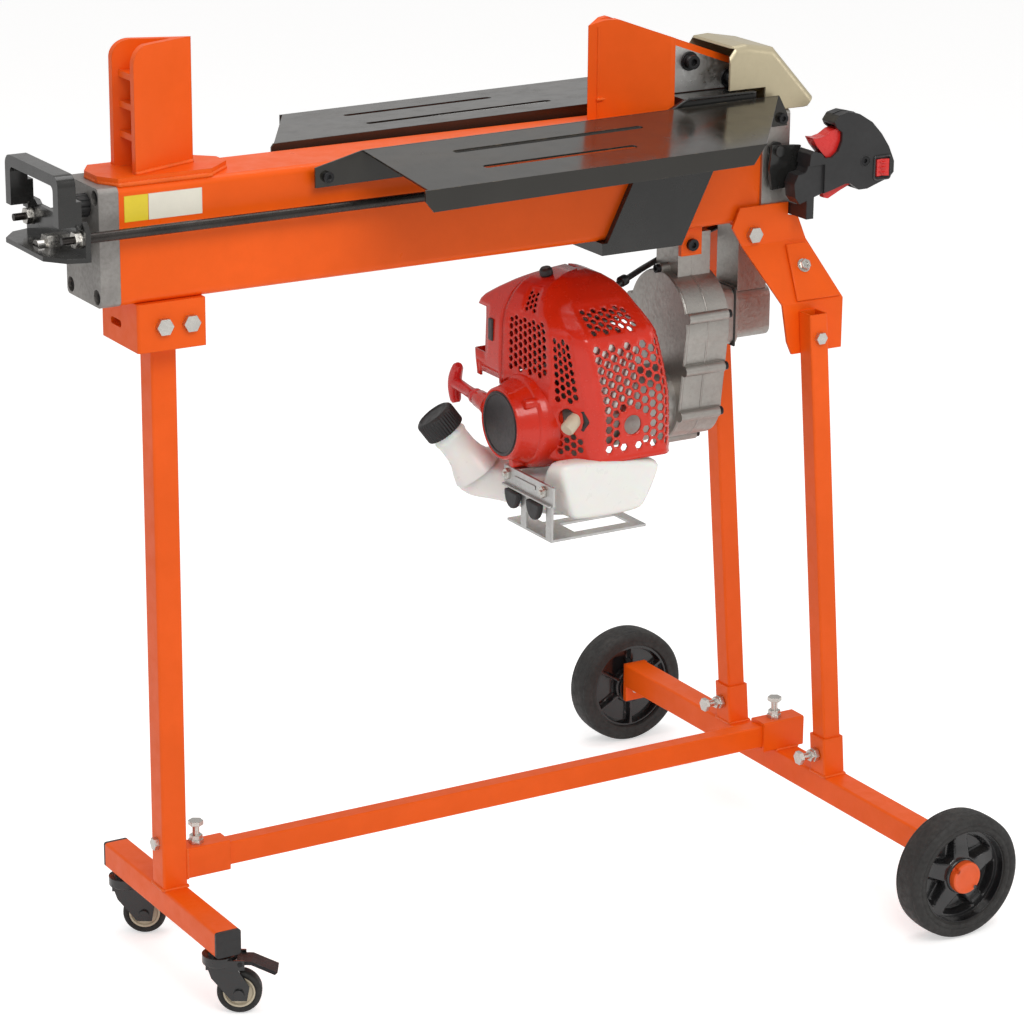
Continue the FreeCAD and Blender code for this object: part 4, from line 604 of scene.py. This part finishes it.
def engine_cover():
    """Moulded shell with real honeycomb openings."""
    along, upward = 99, 44              # border divisions along u and v
    holes = cover_holes()
    # centre and radius of each hole
    discs = [(sum(p[0] for p in h) / len(h), sum(p[1] for p in h) / len(h),
              max(math.hypot(p[0] - h[0][0], p[1] - h[0][1]) for p in h) / 2) for h in holes]
    border = [(COVER_U * i / along, 0.0) for i in range(along)]
    border += [(COVER_U, COVER_V * i / upward) for i in range(upward)]
    border += [(COVER_U - COVER_U * i / along, COVER_V) for i in range(along)]
    border += [(0.0, COVER_V - COVER_V * i / upward) for i in range(upward)]
    points, edges = [], []
    for loop in [border] + holes:
        first = len(points)
        points += loop
        edges += [(first + i, first + (i + 1) % len(loop)) for i in range(len(loop))]
    for i in range(1, int(COVER_U / GRID)):
        for j in range(1, int(COVER_V / GRID)):
            u, v = i * GRID + (0.5 * GRID if j % 2 else 0), j * GRID
            if u >= COVER_U - 1 or v >= COVER_V - 1:
                continue
            if any((u - d[0]) ** 2 + (v - d[1]) ** 2 < (d[2] + 1.3) ** 2 for d in discs
                   if abs(u - d[0]) < 20 and abs(v - d[1]) < 20):
                continue
            points.append((u, v))
    flat, _, triangles, _, _, _ = delaunay_2d_cdt([Vector(p) for p in points], edges, [], 0, 1e-5)
    skin = [cover_point(p[0], p[1]) for p in flat]
    kept = []
    for tri in triangles:
        u = sum(flat[i][0] for i in tri) / 3
        v = sum(flat[i][1] for i in tri) / 3
        if any(encloses(holes[k], u, v) for k, d in enumerate(discs)
               if abs(u - d[0]) < 16 and abs(v - d[1]) < 18):
            continue
        middle = (skin[tri[0]] + skin[tri[1]] + skin[tri[2]]) / 3
        # round opening for the recoil housing at the front
        if u < 130 and math.hypot(middle.y, middle.z - CRANK_Z) < 50:
            continue
        # the rear wall starts at z = 690
        if u > 250 and middle.z < 690:
            continue
        kept.append(tri)
    used = sorted({i for tri in kept for i in tri})
    number = {old: new for new, old in enumerate(used)}
    mesh = [metres(skin[i]) for i in used], [[number[i] for i in tri] for tri in kept]
    made = add("engine_cover_moulding", mesh, "red", angle=40)
    solidify(made, 0.0)
    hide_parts("engine_cover")


# ------------------------------------------------------------------ filter cover
FILTER_FRONT_X = [(620, 356), (640, 354), (690, 355), (702, 357.5), (712, 361.5), (725, 369.5),
                  (735, 379.5), (741, 391.5), (745, 407.5), (747.5, 424)]       # z, x
FILTER_FAR_Y = [(612, 97), (640, 99), (690, 98), (705, 95), (712, 88), (720, 76), (728, 63),
                (735, 52), (741, 42), (745, 37), (747.5, 35)]                   # z, y
FILTER_LEVELS = [616, 622, 634, 646, 658, 670, 682, 692, 700, 706, 712, 718, 724, 730, 735, 739,
                 742, 745, 747.5]


def filter_cover():
    """Closes the far side of the shell, with a seam left between the two."""
    seam = SEAM_Y + 1.6
    verts = []
    for z in FILTER_LEVELS:
        front, far = interpolate(FILTER_FRONT_X, z), interpolate(FILTER_FAR_Y, z)
        r = min(7.0, max(0.6, (far - seam) * 0.4))
        rear = 456.0 if z < 735 else 450.0
        row = [(front, seam)]
        row += [(front, seam + (far - r - seam) * k / 8) for k in range(1, 9)]
        for k in range(1, 6):
            a = math.pi / 2 * k / 5
            row.append((front + r - r * math.cos(a), far - r + r * math.sin(a)))
        row += [(front + r + (rear - 8 - front - r) * k / 9, far) for k in range(1, 10)]
        for k in range(1, 4):
            a = math.pi / 2 * k / 3
            row.append((rear - 8 + 8 * math.sin(a), far - min(8, r) + min(8, r) * math.cos(a)))
        row.append((rear, seam))
        verts += [metres((x, y, z)) for x, y in row]
    n, last = len(row), len(FILTER_LEVELS) - 1
    faces = []
    for i in range(last):
        for k in range(n - 1):
            intake = 5 <= k <= 13 and 3 <= i <= 7     # air intake at the outer front corner
            lower_gap = i < 1 and 1 <= k <= 6         # raised lower edge at the front
            if not (intake or lower_gap):
                faces.append([i * n + k, i * n + k + 1, (i + 1) * n + k + 1, (i + 1) * n + k])
    faces.append([last * n + k for k in range(n)])
    made = add("filter_cover_moulding", (verts, faces), "red", angle=40)
    solidify(made, -1.0)
    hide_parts("filter_cover")


def filter_details():
    # filter element seen through the intake
    element = prism(rectangle_yz(364, 44, 90, 626, 706), (80, 0, 0))
    bevel(add("filter_element", element, "redtrim"), 6, 3)
    latch = prism(rectangle_yz(352.4, 53, 62, 664, 690), (3, 0, 0))
    bevel(add("latch_plaque", latch, "badge"), 1.2, 2)
    knob = [(0, 20), (5.5, 20), (7.5, 17.5), (7.8, 12), (6, 9), (4.5, 0), (0, 0)]
    add("choke_knob", turned(knob, (405, 16, 734), (-0.2, 0, 1), 24), "black")


# ------------------------------------------------------------------ recoil starter
# profiles are (radius, distance along the axis)
RECOIL_DRUM = [(30, 2.5), (36.2, 2.2), (37.2, 0.0), (38.4, -0.9), (40.6, -0.9), (41.8, 0.2),
               (42.4, 3), (43.6, 9), (46.8, 16), (48.6, 21), (49.4, 23), (51.8, 24), (54.2, 27),
               (55.6, 34), (57.0, 44), (57.4, 50), (53, 51), (50, 36), (44, 24), (30, 8),
               (30, 2.5)]
CORD_SPOUT = [(5.0, 30.5), (5.0, 38.0), (9.4, 38.4), (10.4, 36.5), (11.2, 22), (13.5, 10),
              (5.0, 10), (5.0, 30.5)]
RECOIL_BOSS = [(0, -2), (4.6, -2), (5.8, -0.5), (6.4, 16), (0, 16)]
RECOIL_RIM = [(33.5, -0.3), (34.3, -1.0), (35.8, -1.0), (36.6, -0.3), (33.5, -0.3)]
BOSS_CIRCLE = 47.0


def recoil_housing():
    parts = [turned(RECOIL_DRUM, (333.2, 0, CRANK_Z), (1, 0, 0), 96),
             turned(CORD_SPOUT, CORD_EXIT, CORD_AXIS, 36)]
    for degrees in (70, 190, 310):
        a = math.radians(degrees)
        centre = (345, BOSS_CIRCLE * math.sin(a), CRANK_Z + BOSS_CIRCLE * math.cos(a))
        parts.append(turned(RECOIL_BOSS, centre, (1, 0, 0), 24))
    made = add("recoil_housing_moulding", merged(*parts), "red", angle=40)
    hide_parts("recoil_housing")
    add("recoil_disc_rim", turned(RECOIL_RIM, (332.6, 0, CRANK_Z), (1, 0, 0), 72), "badge")


def spark_plug():
    boot = [(0, 0), (7.2, 0), (8.4, 2), (8.4, 16), (7.4, 19), (7.4, 30), (0, 30)]
    add("plug_boot", turned(boot, (374, -78, 588), (0.80, 0.30, 0.52), 28), "cream")
    lead = [(388, -66, 608), (396, -80, 606), (397, -84, 596), (396, -78, 586)]
    add("plug_lead", swept(lead, 3.4, 10), "cable")


def starter_handle():
    """T handle on the cord; its bar bows back towards the housing at both ends."""
    stem = [(0, 0), (8.6, 0), (9.4, 2), (9.4, 7), (7.2, 10), (6.6, 26), (7.0, 44), (7.5, 52),
            (0, 56)]
    half_bar, bow = 23.5, 6.5
    foot = CORD_EXIT + CORD_AXIS * 38.5
    bar_middle = foot + CORD_AXIS * 55
    bar_axis = Vector((0, -0.12, 1)).normalized()
    path, radii = [], []
    for k in range(17):
        t = -1 + 2 * k / 16
        path.append(bar_middle + bar_axis * (t * half_bar) - CORD_AXIS * (bow * t * t))
        radii.append(6.2 + 2.1 * math.cos(t * math.pi / 2) if abs(t) < 0.99 else 4.4)
    mesh = merged(turned(stem, foot, CORD_AXIS, 28), swept(path, radii, 20))
    made = add("starter_handle_moulding", mesh, "redtrim", "starter", 50)
    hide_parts("pull_handle")

    cord = [CORD_EXIT - CORD_AXIS * 8 + CORD_AXIS * (54.0 * k / 30) for k in range(31)]
    made = add("starter_cord", swept(cord, 1.9, 10), "cable", None, 60)
    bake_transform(made)
    eyelet = [(4.0, 0), (7.0, 0.0), (8.2, 1.2), (7.4, 2.4), (4.6, 2.4), (4.0, 0)]
    add("cord_eyelet", turned(eyelet, CORD_EXIT + CORD_AXIS * 37.6, CORD_AXIS, 24), "black")


# ------------------------------------------------------------------ fuel tank and cap
# y; bottom: front x, rear x, z; top: front x, z, rear x, z; corner cut
TANK_SECTIONS = [
    (-95.4, 382, 462, 491, 370, 545, 482, 533, 9), (-94, 376, 468, 485, 360, 553, 492, 540, 6),
    (-89, 372, 471, 482, 356, 556, 495, 542, 6), (-70, 372, 472, 482, 356, 556, 496, 542, 6),
    (-60, 370, 476, 480, 356, 548, 498, 538, 7), (-54, 366, 480, 478, 356, 524, 500, 522, 7),
    (-30, 358, 488, 475, 354, 520, 501, 520, 7), (30, 350, 491, 474, 350, 520, 501, 520, 7),
    (48, 334, 493, 474, 332, 525, 503, 525, 8), (66, 324, 493, 473, 320, 530, 504, 530, 9),
    (86, 324, 489, 475, 320, 530, 500, 530, 9), (95, 336, 478, 484, 332, 522, 488, 522, 10)]
TANK_NECK = [(30, -14), (26, -2), (21.5, 8), (19.6, 18), (19.2, 34), (20.4, 37), (20.4, 40),
             (19.0, 42), (19.0, 46), (13, 46), (13, 30)]
CAP_SHELL = [(21, 0.0), (23.0, 0.3), (23.7, 2), (23.7, 12), (23.7, 21), (23.0, 23.4),
             (20.6, 25.6), (18.5, 25.9), (17.5, 24.6), (8, 24.2), (0, 24.2)]
CAP_PLUG = [(0, -12), (12.4, -12), (12.4, 3), (21, 3), (21, 0)]
NECK_BASE = Vector((332, 66, 520))
NECK_AXIS = Vector((-0.55, 0.25, 0.8)).normalized()


def fuel_tank():
    verts = []
    for y, low_x0, low_x1, low_z, top_x0, top_z0, top_x1, top_z1, cut in TANK_SECTIONS:
        section = [(low_x0 + cut, low_z), (low_x1 - cut, low_z),
                   (low_x1 + cut * 0.4, low_z + cut), (top_x1, top_z1 - cut),
                   (top_x1 - cut, top_z1), (top_x0 + cut, top_z0), (top_x0, top_z0 - cut),
                   (low_x0 - cut * 0.2, low_z + cut)]
        verts += [metres((x, y, z)) for x, z in section]
    mesh = verts, ring_faces(len(TANK_SECTIONS), 8)
    tank = add("fuel_tank_moulding", mesh, "tank", angle=180)
    modifier = tank.modifiers.new("smooth", "SUBSURF")
    modifier.levels = 2
    modifier.render_levels = 2
    add("tank_neck", turned(TANK_NECK, NECK_BASE, NECK_AXIS, 40), "tank",
        angle=40)
    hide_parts("fuel_tank")


def fuel_cap():
    def knurled(t):
        return [(r * (1.0 + 0.022 * math.cos(t * 40)) if 1 <= i <= 5 else r, h)
                for i, (r, h) in enumerate(CAP_SHELL)]

    base = NECK_BASE + NECK_AXIS * 46.3
    mesh = merged(turned(knurled, base, NECK_AXIS, 160), turned(CAP_PLUG, base, NECK_AXIS, 40))
    made = add("fuel_cap_moulding", mesh, "black", "cap", 30)
    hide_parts("fuel_cap")


# ------------------------------------------------------------------ bracket and plaques
def rubber_pads():
    """Two pads with a straight top edge and a rounded lower one."""
    half_width, drop, top = 15, 21, 505
    for name, y in (("rubber_pad_a", -16), ("rubber_pad_b", -64)):
        outline = [(BRACKET_X, y - half_width, top)]
        outline += [(BRACKET_X, y + half_width * math.cos(math.pi * (1 - k / 10.0)),
                     top - drop * math.sin(math.pi * k / 10.0)) for k in range(1, 10)]
        outline.append((BRACKET_X, y + half_width, top))
        pad = add(name, prism(outline, (-7, 0, 0)), "black")
        bevel(pad, 2.0, 3)


def bracket_details():
    """Folded edge, slot and two screws of the bracket under the recoil housing."""
    fold = [(341, -96, 506), (345, -96, 506), (345, 9, 506), (341, 9, 506)]
    slot = [(344.7, -60, 517), (344.7, -60, 522), (344.7, -14, 522), (344.7, -14, 517)]
    mesh = merged(prism(fold, (0, 0, 2.4)), prism(slot, (-0.8, 0, 0)))
    bevel(add("bracket_fold", mesh, "plate"), 0.6, 2)
    screw = [(0, 6.0), (3.0, 6.0), (3.0, 3.5), (6.6, 3.5), (7.2, 2.8), (7.2, 0), (0, 0)]
    screws = [turned(screw, (BRACKET_X, y, 520), (-1, 0, 0), 6) for y in (-78, 2)]
    add("bracket_screws", merged(*screws), "zinc", angle=30)


def plaques():
    """Blank plaques on the near face of the beam."""
    y, z0, z1 = -43.02, 881, 909
    for name, x0, x1, mat in (("blank_plaque_end", -148, -120.4, "yellow"),
                              ("blank_plaque_beam", -120, -58, "cream_light")):
        outline = [(x0, y, z0), (x1, y, z0), (x1, y, z1), (x0, y, z1)]
        made = add(name, prism(outline, (0, -0.35, 0)), mat, angle=30)
        bevel(made, 0.15, 1)


# ------------------------------------------------------------------ large wheels
# profiles are (radius, distance outward along the axle)
WHEEL_X, WHEEL_Y, WHEEL_RADIUS = 738.6, 358.0, 75.0
WHEEL_TYRE = [
    (55.5, -15.5), (56.5, -18.6), (60, -19.6), (62, -18.9), (64, -19.9), (68.5, -20.2),
    (72.2, -18.6), (73.8, -16.0), (74.0, -15.0), (73.6, -14.2), (74.2, -13.4), (74.8, -8),
    (75.0, -3), (75.0, 3), (74.8, 8), (74.2, 13.4), (73.6, 14.2), (74.0, 15.0), (73.8, 16.0),
    (72.2, 18.6), (68.5, 20.2), (65.0, 20.0), (63.4, 18.9), (61.6, 19.7), (59.6, 19.6),
    (58.0, 18.2), (56.6, 18.8), (55.5, 17.0), (55.5, -15.5)]
WHEEL_BORE = [(6.6, 12.2), (12.0, 12.2), (19.6, 12.2), (20.8, 11.2)]
WHEEL_RIM = [(54.6, 12.5), (54.9, 16.2), (55.8, 16.6), (55.8, -15.2), (54.6, -15.4)]
WHEEL_BACK = [(20.6, -15.5), (19.6, -19.2), (13.0, -19.4), (8.0, -19.4), (6.6, -18.6),
              (6.6, 12.2)]
HUB_CAP = [(14.8, 12.3), (18.6, 12.3), (19.3, 13.0), (19.4, 18.6), (18.8, 20.4), (17.2, 21.2),
           (15.8, 20.9), (14.6, 20.0), (7, 20.3), (0, 20.4)]
DISC_RADII = [21.5 + (53.5 - 21.5) * i / 25 for i in range(26)]
SPOKES, RIBS = 5, 6


def smoothstep(x):
    x = max(0.0, min(1.0, x))
    return x * x * (3 - 2 * x)


def off_spoke(r, t, count):
    """Distance along the arc from the middle of the nearest of count spokes."""
    k = (t * count / (2 * math.pi)) % 1.0
    return min(k, 1 - k) * 2 * math.pi / count * r


def outer_face(r, t):
    """Broad spokes with pockets between them."""
    spoke = 1 - smoothstep((off_spoke(r, t, SPOKES) - (7.5 + 0.10 * (50 - r))) / 4.5)
    edge = max(smoothstep((26.5 - r) / 3.0), smoothstep((r - 46.0) / 3.5))
    raised = 9.5 - 3.0 * smoothstep((r - 22) / 22)
    return -4.0 + (raised + 4.0) * max(spoke, edge)


def inner_face(r, t):
    """Thin ribs."""
    rib = 1 - smoothstep((off_spoke(r, t, RIBS) - 1.8) / 1.2)
    edge = max(smoothstep((24.0 - r) / 1.5), smoothstep((r - 50.0) / 1.5))
    return -7.0 - 8.5 * max(rib, edge)


def wheel_centre(t):
    outer = [(r, outer_face(r, t)) for r in DISC_RADII]
    inner = [(r, inner_face(r, t)) for r in DISC_RADII[::-1]]
    return WHEEL_BORE + outer + WHEEL_RIM + inner + WHEEL_BACK


def notched_cap(t):
    """The hub cap with two notches in its side."""
    notched = any(abs(((t - at + math.pi) % (2 * math.pi)) - math.pi) < 0.13
                  for at in (0.9, 3.9))
    return [(r * 0.86 if notched and 2 <= i <= 5 else r, h) for i, (r, h) in enumerate(HUB_CAP)]


def wheel(side, sign):
    centre, axis = (WHEEL_X, sign * WHEEL_Y, WHEEL_RADIUS), (0, sign, 0)
    body = "wheel_" + side
    tyre = add("tyre_" + side, turned(WHEEL_TYRE, centre, axis, 128), "rubber", body,
               50)
    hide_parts("wheel_" + side)
    add("wheel_centre_" + side, turned(wheel_centre, centre, axis, 180), "glossblack", body,
        50)
    cap = add("hub_cap_moulding_" + side, turned(notched_cap, centre, axis, 120), "caporange",
              body, 40)
    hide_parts("hub_cap_" + side)


# ------------------------------------------------------------------ caster wheels
CASTER_SWIVEL = math.radians(31)
CASTER_X, CASTER_Y, CASTER_TRAIL, CASTER_RADIUS = -93, 122.0, 22, 25.0
CASTER_TYRE = [(18.2, -7.6), (21.5, -8.9), (23.6, -8.4), (24.7, -6.4), (25.0, -3), (25.0, 3),
               (24.7, 6.4), (23.6, 8.4), (21.5, 8.9), (18.2, 7.6), (17.6, 6.2), (17.6, -6.2),
               (18.2, -7.6)]
CASTER_RIM = [(4.2, -8.8), (6.8, -8.8), (7.6, -7.2), (9.2, -5.4), (14.6, -5.4), (15.8, -7.6),
              (17.9, -7.8), (17.9, 7.8), (15.8, 7.6), (14.6, 5.4), (9.2, 5.4), (7.6, 7.2),
              (6.8, 8.8), (4.2, 8.8), (4.2, -8.8)]


def caster(side, sign):
    centre = (CASTER_X + CASTER_TRAIL * math.cos(CASTER_SWIVEL),
              sign * CASTER_Y - CASTER_TRAIL * math.sin(CASTER_SWIVEL), CASTER_RADIUS)
    axis = (math.sin(CASTER_SWIVEL), math.cos(CASTER_SWIVEL), 0)
    body = "caster_wheel_" + side
    tyre = add("caster_tyre_" + side, turned(CASTER_TYRE, centre, axis, 64), "rubber", body,
               50)
    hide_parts("caster_wheel_" + side)
    add("caster_rim_" + side, turned(CASTER_RIM, centre, axis, 56), "cream", body,
        30)


# ------------------------------------------------------------------ weld beads
def level(z, *points):
    """(x, y) points lifted to one height."""
    return [(x, y, z) for x, y in points]


def welds():
    weld("wedge_base", 2.6, level(
        920.2, (-164, -15), (-151, -38.5), (-46, -38.5), (-15, -11), (-15, 11), (-46, 38.5),
        (-151, 38.5), (-164, 15), (-164, -15)))
    for side, s in SIDES:
        weld("wedge_" + side, 2.2, level(928.2, (-128, s * 31.5), (-88, s * 16.2), (-47, s * 0.8)))
    weld("leg_cross", 1.7, level(104.6, (-108, -15.4), (-78, -15.4), (-77.4, 15.4),
                                 (-108, 15.4), (-108.6, -15.4)))
    weld("sleeve_front", 1.6, [(-77.6, -14, 112.5), (-77.6, -14, 148), (-77.6, 14, 148),
                               (-77.6, 14, 112.5)])
    for name, s in (("socket_rear", -1), ("socket_rear_far", 1)):
        weld(name, 1.6, level(111.0, (722.4, s * 14.3), (754.6, s * 14.3)))
    for side, s in SIDES:
        y0, y1 = s * 102.6 - 15, s * 102.6 + 15
        weld("leg_sleeve_" + side, 1.5, level(111.2, (721.2, y0), (751.2, y0), (751.2, y1),
                                              (721.2, y1), (721.2, y0)))
        handle = [(-213.2, s * 54, 889.5), (-213.2, s * 69, 889.5), (-206.6, s * 69, 885.0)]
        weld("handle_" + side, 1.5, handle, "ram", "blackpaint")
        lug = level(883.2, (500, s * 51.6), (538, s * 51.6))
        weld("lug_" + side, 1.8, lug, "ram", "blackpaint")
        saddle = [(x, s * 50.2, z) for x, z in ((518, 931), (546, 944.6), (600, 944.6),
                                                (639, 944.6))]
        weld("saddle_" + side, 1.8, saddle, "ram", "blackpaint")
    weld("plough_near", 2.0, level(946.0, (452, -7.4), (545, -7.4)), "ram")


# ------------------------------------------------------------------ gear case, pump, cable
def case_outline(x, grow):
    """Closed outline of the gear case: a half circle above and a smaller one below."""
    upper, lower = 60.0 + grow, 47.0 + grow
    half = math.radians(180)
    points = []
    for radius, z, start in ((upper, 676, 0.0), (lower, CRANK_Z, half)):
        for k in range(25):
            t = start + half * k / 24
            points.append((x, radius * math.cos(t), z + radius * math.sin(t)))
    return points + [points[0]]


def case_and_cable():
    gasket = prism(rectangle_yz(630.2, -31.4, 31.4, 640.6, 711.4), (3.0, 0, 0))
    bevel(add("pump_gasket", gasket, "gasket"), 9, 4)
    for name, x, grow, radius in (("gear_case_joint", 575.0, -0.6, 1.5),
                                  ("gear_case_front_edge", 547.5, -1.2, 2.2)):
        bead = swept(case_outline(x, grow), radius, 10, caps=False)
        add(name, bead, "castalloy", angle=60)
    # where the throttle cable passes into the engine shroud
    sheath = [(499, 1, 730.3), (490, -2, 728), (480, -5, 723), (470, -8, 716)]
    ferrule = [(3.6, 0), (6.0, 0), (6.4, 1), (6.4, 9), (5.2, 10), (3.6, 10)]
    mesh = merged(swept(sheath, 3.9, 12),
                  turned(ferrule, (500.5, 1.5, 730.6), (-0.93, -0.28, -0.2), 20))
    add("cable_end", mesh, "cable", angle=60)


# ------------------------------------------------------------------ throttle grip
# spine of the grip, where its halves meet: x, z
GRIP_SPINE = [(729.5, 915.4), (743.3, 918.3), (759.0, 914.2), (777.0, 903.4), (791.3, 888.4),
              (802.2, 872.3), (810.2, 854.2), (810.2, 841.2)]


def throttle_grip():
    middle_x, middle_z = 793, 848       # of the switch
    half_width, half_height, corner = 11.2, 13.6, 3.0
    bezel = []
    for sx, sz, start in ((1, 1, 0), (-1, 1, 90), (-1, -1, 180), (1, -1, 270)):
        for k in range(7):
            a = math.radians(start + 90.0 * k / 6)
            bezel.append((middle_x + sx * (half_width - corner) + corner * math.cos(a), -88.1,
                          middle_z + sz * (half_height - corner) + corner * math.sin(a)))
    bezel.append(bezel[0])
    add("switch_bezel", swept(bezel, 1.5, 10, caps=False), "glossblack",
        angle=60)
    ribs = [swept([(middle_x - 3, -89.0, middle_z + dz), (middle_x + 3, -90.4, middle_z + dz)],
                  0.7, 8) for dz in (-6, 0, 6)]
    add("switch_ribs", merged(*ribs), "redtrim", "switch", 60)
    add("grip_seam", swept([(x, -75, z) for x, z in GRIP_SPINE], 0.5, 8), "glossblack",
        angle=60)
    # rim of the screw recess
    rim = [(5.6, -0.4), (6.0, 0.5), (7.0, 0.5), (7.6, -0.4), (5.6, -0.4)]
    add("grip_recess", turned(rim, (769, -88.0, 858), (0, -1, 0), 40), "black",
        angle=60)


# ------------------------------------------------------------------ rear bracket doublers
WASHER = [(0, 0), (8.2, 0), (8.2, 1.4), (0, 1.4)]
NUT = [(3.1, 1.4), (6.4, 1.4), (6.8, 2.2), (6.8, 6.2), (6.2, 7.0), (3.4, 7.0), (3.1, 6.2),
       (3.1, 1.4)]
STUD = [(0, 1.0), (3.0, 1.0), (3.0, 5.2), (2.4, 5.8), (0, 5.8)]


def doubler(side, sign):
    """Plate and nut on one slanted wing of the rear bracket."""
    outward = Vector((0, sign * 0.85, 0.527))

    def wing(x, t):
        """A point just off the wing, from its upper edge (t = 0) to its lower one (t = 1)."""
        return Vector((x, sign * (50.5 + 40.3 * t), 765 - 65 * t)) + outward * 0.35

    outline = [wing(684, 0.06), wing(713, 0.06), wing(738, 0.97), wing(677, 0.97)]
    plate = add("bracket_doubler_" + side, prism(outline, outward * 2.4), "orange",
                angle=30)
    bevel(plate, 0.9, 2)
    seat = wing(699, 0.43) + outward * 2.3
    parts = [turned(profile, seat, outward, sides)
             for profile, sides in ((WASHER, 32), (NUT, 6), (STUD, 20))]
    add("doubler_nut_" + side, merged(*parts), "zinc", angle=30)


# ------------------------------------------------------------------ stage (metres)
def seen_strength(graph, lighting, seen):
    """One strength for lighting the scene and another for what the camera sees."""
    is_camera = graph.node("ShaderNodeLightPath").outputs["Is Camera Ray"]
    return graph.remap(is_camera, to=(lighting, seen))


def floor():
    half, z = 9.0, -0.0005
    data = bpy.data.meshes.new("floor")
    corners = [(-half, -half, z), (half, -half, z), (half, half, z), (-half, half, z)]
    data.from_pydata(corners, [], [(0, 1, 2, 3)])
    made = bpy.data.objects.new("floor", data)
    bpy.context.scene.collection.objects.link(made)
    pale = bpy.data.materials.new("pale_floor")
    pale.use_nodes = True
    graph = Graph(pale.node_tree)
    shader = graph.tree.nodes["Principled BSDF"]
    shader.inputs["Base Color"].default_value = (0.83, 0.83, 0.83, 1)
    mottle = graph.node("ShaderNodeTexNoise", {"Scale": 3.0}).outputs["Fac"]
    graph.fill(shader, {
        "Base Color": graph.mix(mottle, (0.84, 0.84, 0.84), (0.87, 0.87, 0.87)),
        "Roughness": 0.75,
        "Emission Color": (1.0, 1.0, 1.0, 1),
        "Emission Strength": seen_strength(graph, lighting=0.14, seen=0.50)})
    data.materials.append(pale)


def world():
    studio = bpy.data.worlds.new("studio")
    bpy.context.scene.world = studio
    studio.use_nodes = True
    graph = Graph(studio.node_tree)
    graph.fill(graph.tree.nodes["Background"], {
        "Color": (1.0, 0.99, 0.98, 1),
        "Strength": seen_strength(graph, lighting=0.52, seen=1.0)})


def area_light(name, place, target, size, power, colour=(1, 1, 1)):
    light = bpy.data.lights.new(name, "AREA")
    light.shape = "RECTANGLE"
    light.size, light.size_y = size
    light.energy = power
    light.color = colour
    made = bpy.data.objects.new(name, light)
    bpy.context.scene.collection.objects.link(made)
    made.location = place
    aim = Vector(target) - Vector(place)
    made.rotation_euler = aim.to_track_quat("-Z", "Y").to_euler()


def lights():
    area_light("key", place=(-0.6, -2.6, 3.0), target=(0, 0, 0.7), size=(2.2, 1.4), power=50,
               colour=(1.0, 0.985, 0.96))
    area_light("side", place=(-3.2, 0.4, 1.9), target=(0, 0, 0.7), size=(1.4, 1.8), power=8)
    area_light("right", place=(3.0, -2.0, 1.4), target=(0.1, 0, 0.6), size=(1.2, 1.6), power=12,
               colour=(1.0, 0.97, 0.93))
    area_light("top", place=(0.2, 0.4, 3.4), target=(0, 0, 0.8), size=(2.4, 1.8), power=30)


def camera():
    place = (-1.9777, -3.4293, 1.7664)
    back = Vector((-0.4868, -0.8174, 0.3082)).normalized()    # from the scene to the camera
    roll = math.radians(0.455)
    forward = -back
    right = forward.cross(Vector((0, 0, 1))).normalized()
    up = right.cross(forward).normalized()
    x_axis = right * math.cos(roll) + up * math.sin(roll)
    y_axis = up * math.cos(roll) - right * math.sin(roll)
    data = bpy.data.cameras.new("camera")
    data.sensor_width = 36.0      # mm
    data.sensor_fit = "HORIZONTAL"
    data.lens = 128.10234375      # mm
    data.clip_end = 60.0
    made = bpy.data.objects.new("camera", data)
    bpy.context.scene.collection.objects.link(made)
    rows = [(x_axis[i], y_axis[i], back[i], place[i]) for i in range(3)]
    made.matrix_world = Matrix((*rows, (0, 0, 0, 1)))
    bpy.context.scene.camera = made
    bpy.context.scene.view_settings.view_transform = "Standard"
    bpy.context.scene.view_settings.exposure = 0.0


# ------------------------------------------------------------------ build
engine_cover()
filter_cover()
filter_details()
recoil_housing()
spark_plug()
starter_handle()
fuel_tank()
fuel_cap()
rubber_pads()
bracket_details()
plaques()
for side, sign in SIDES:
    wheel(side, sign)
for side, sign in SIDES:
    caster(side, sign)
welds()
case_and_cable()
throttle_grip()
for side, sign in SIDES:
    doubler(side, sign)
floor()
world()
lights()
camera()
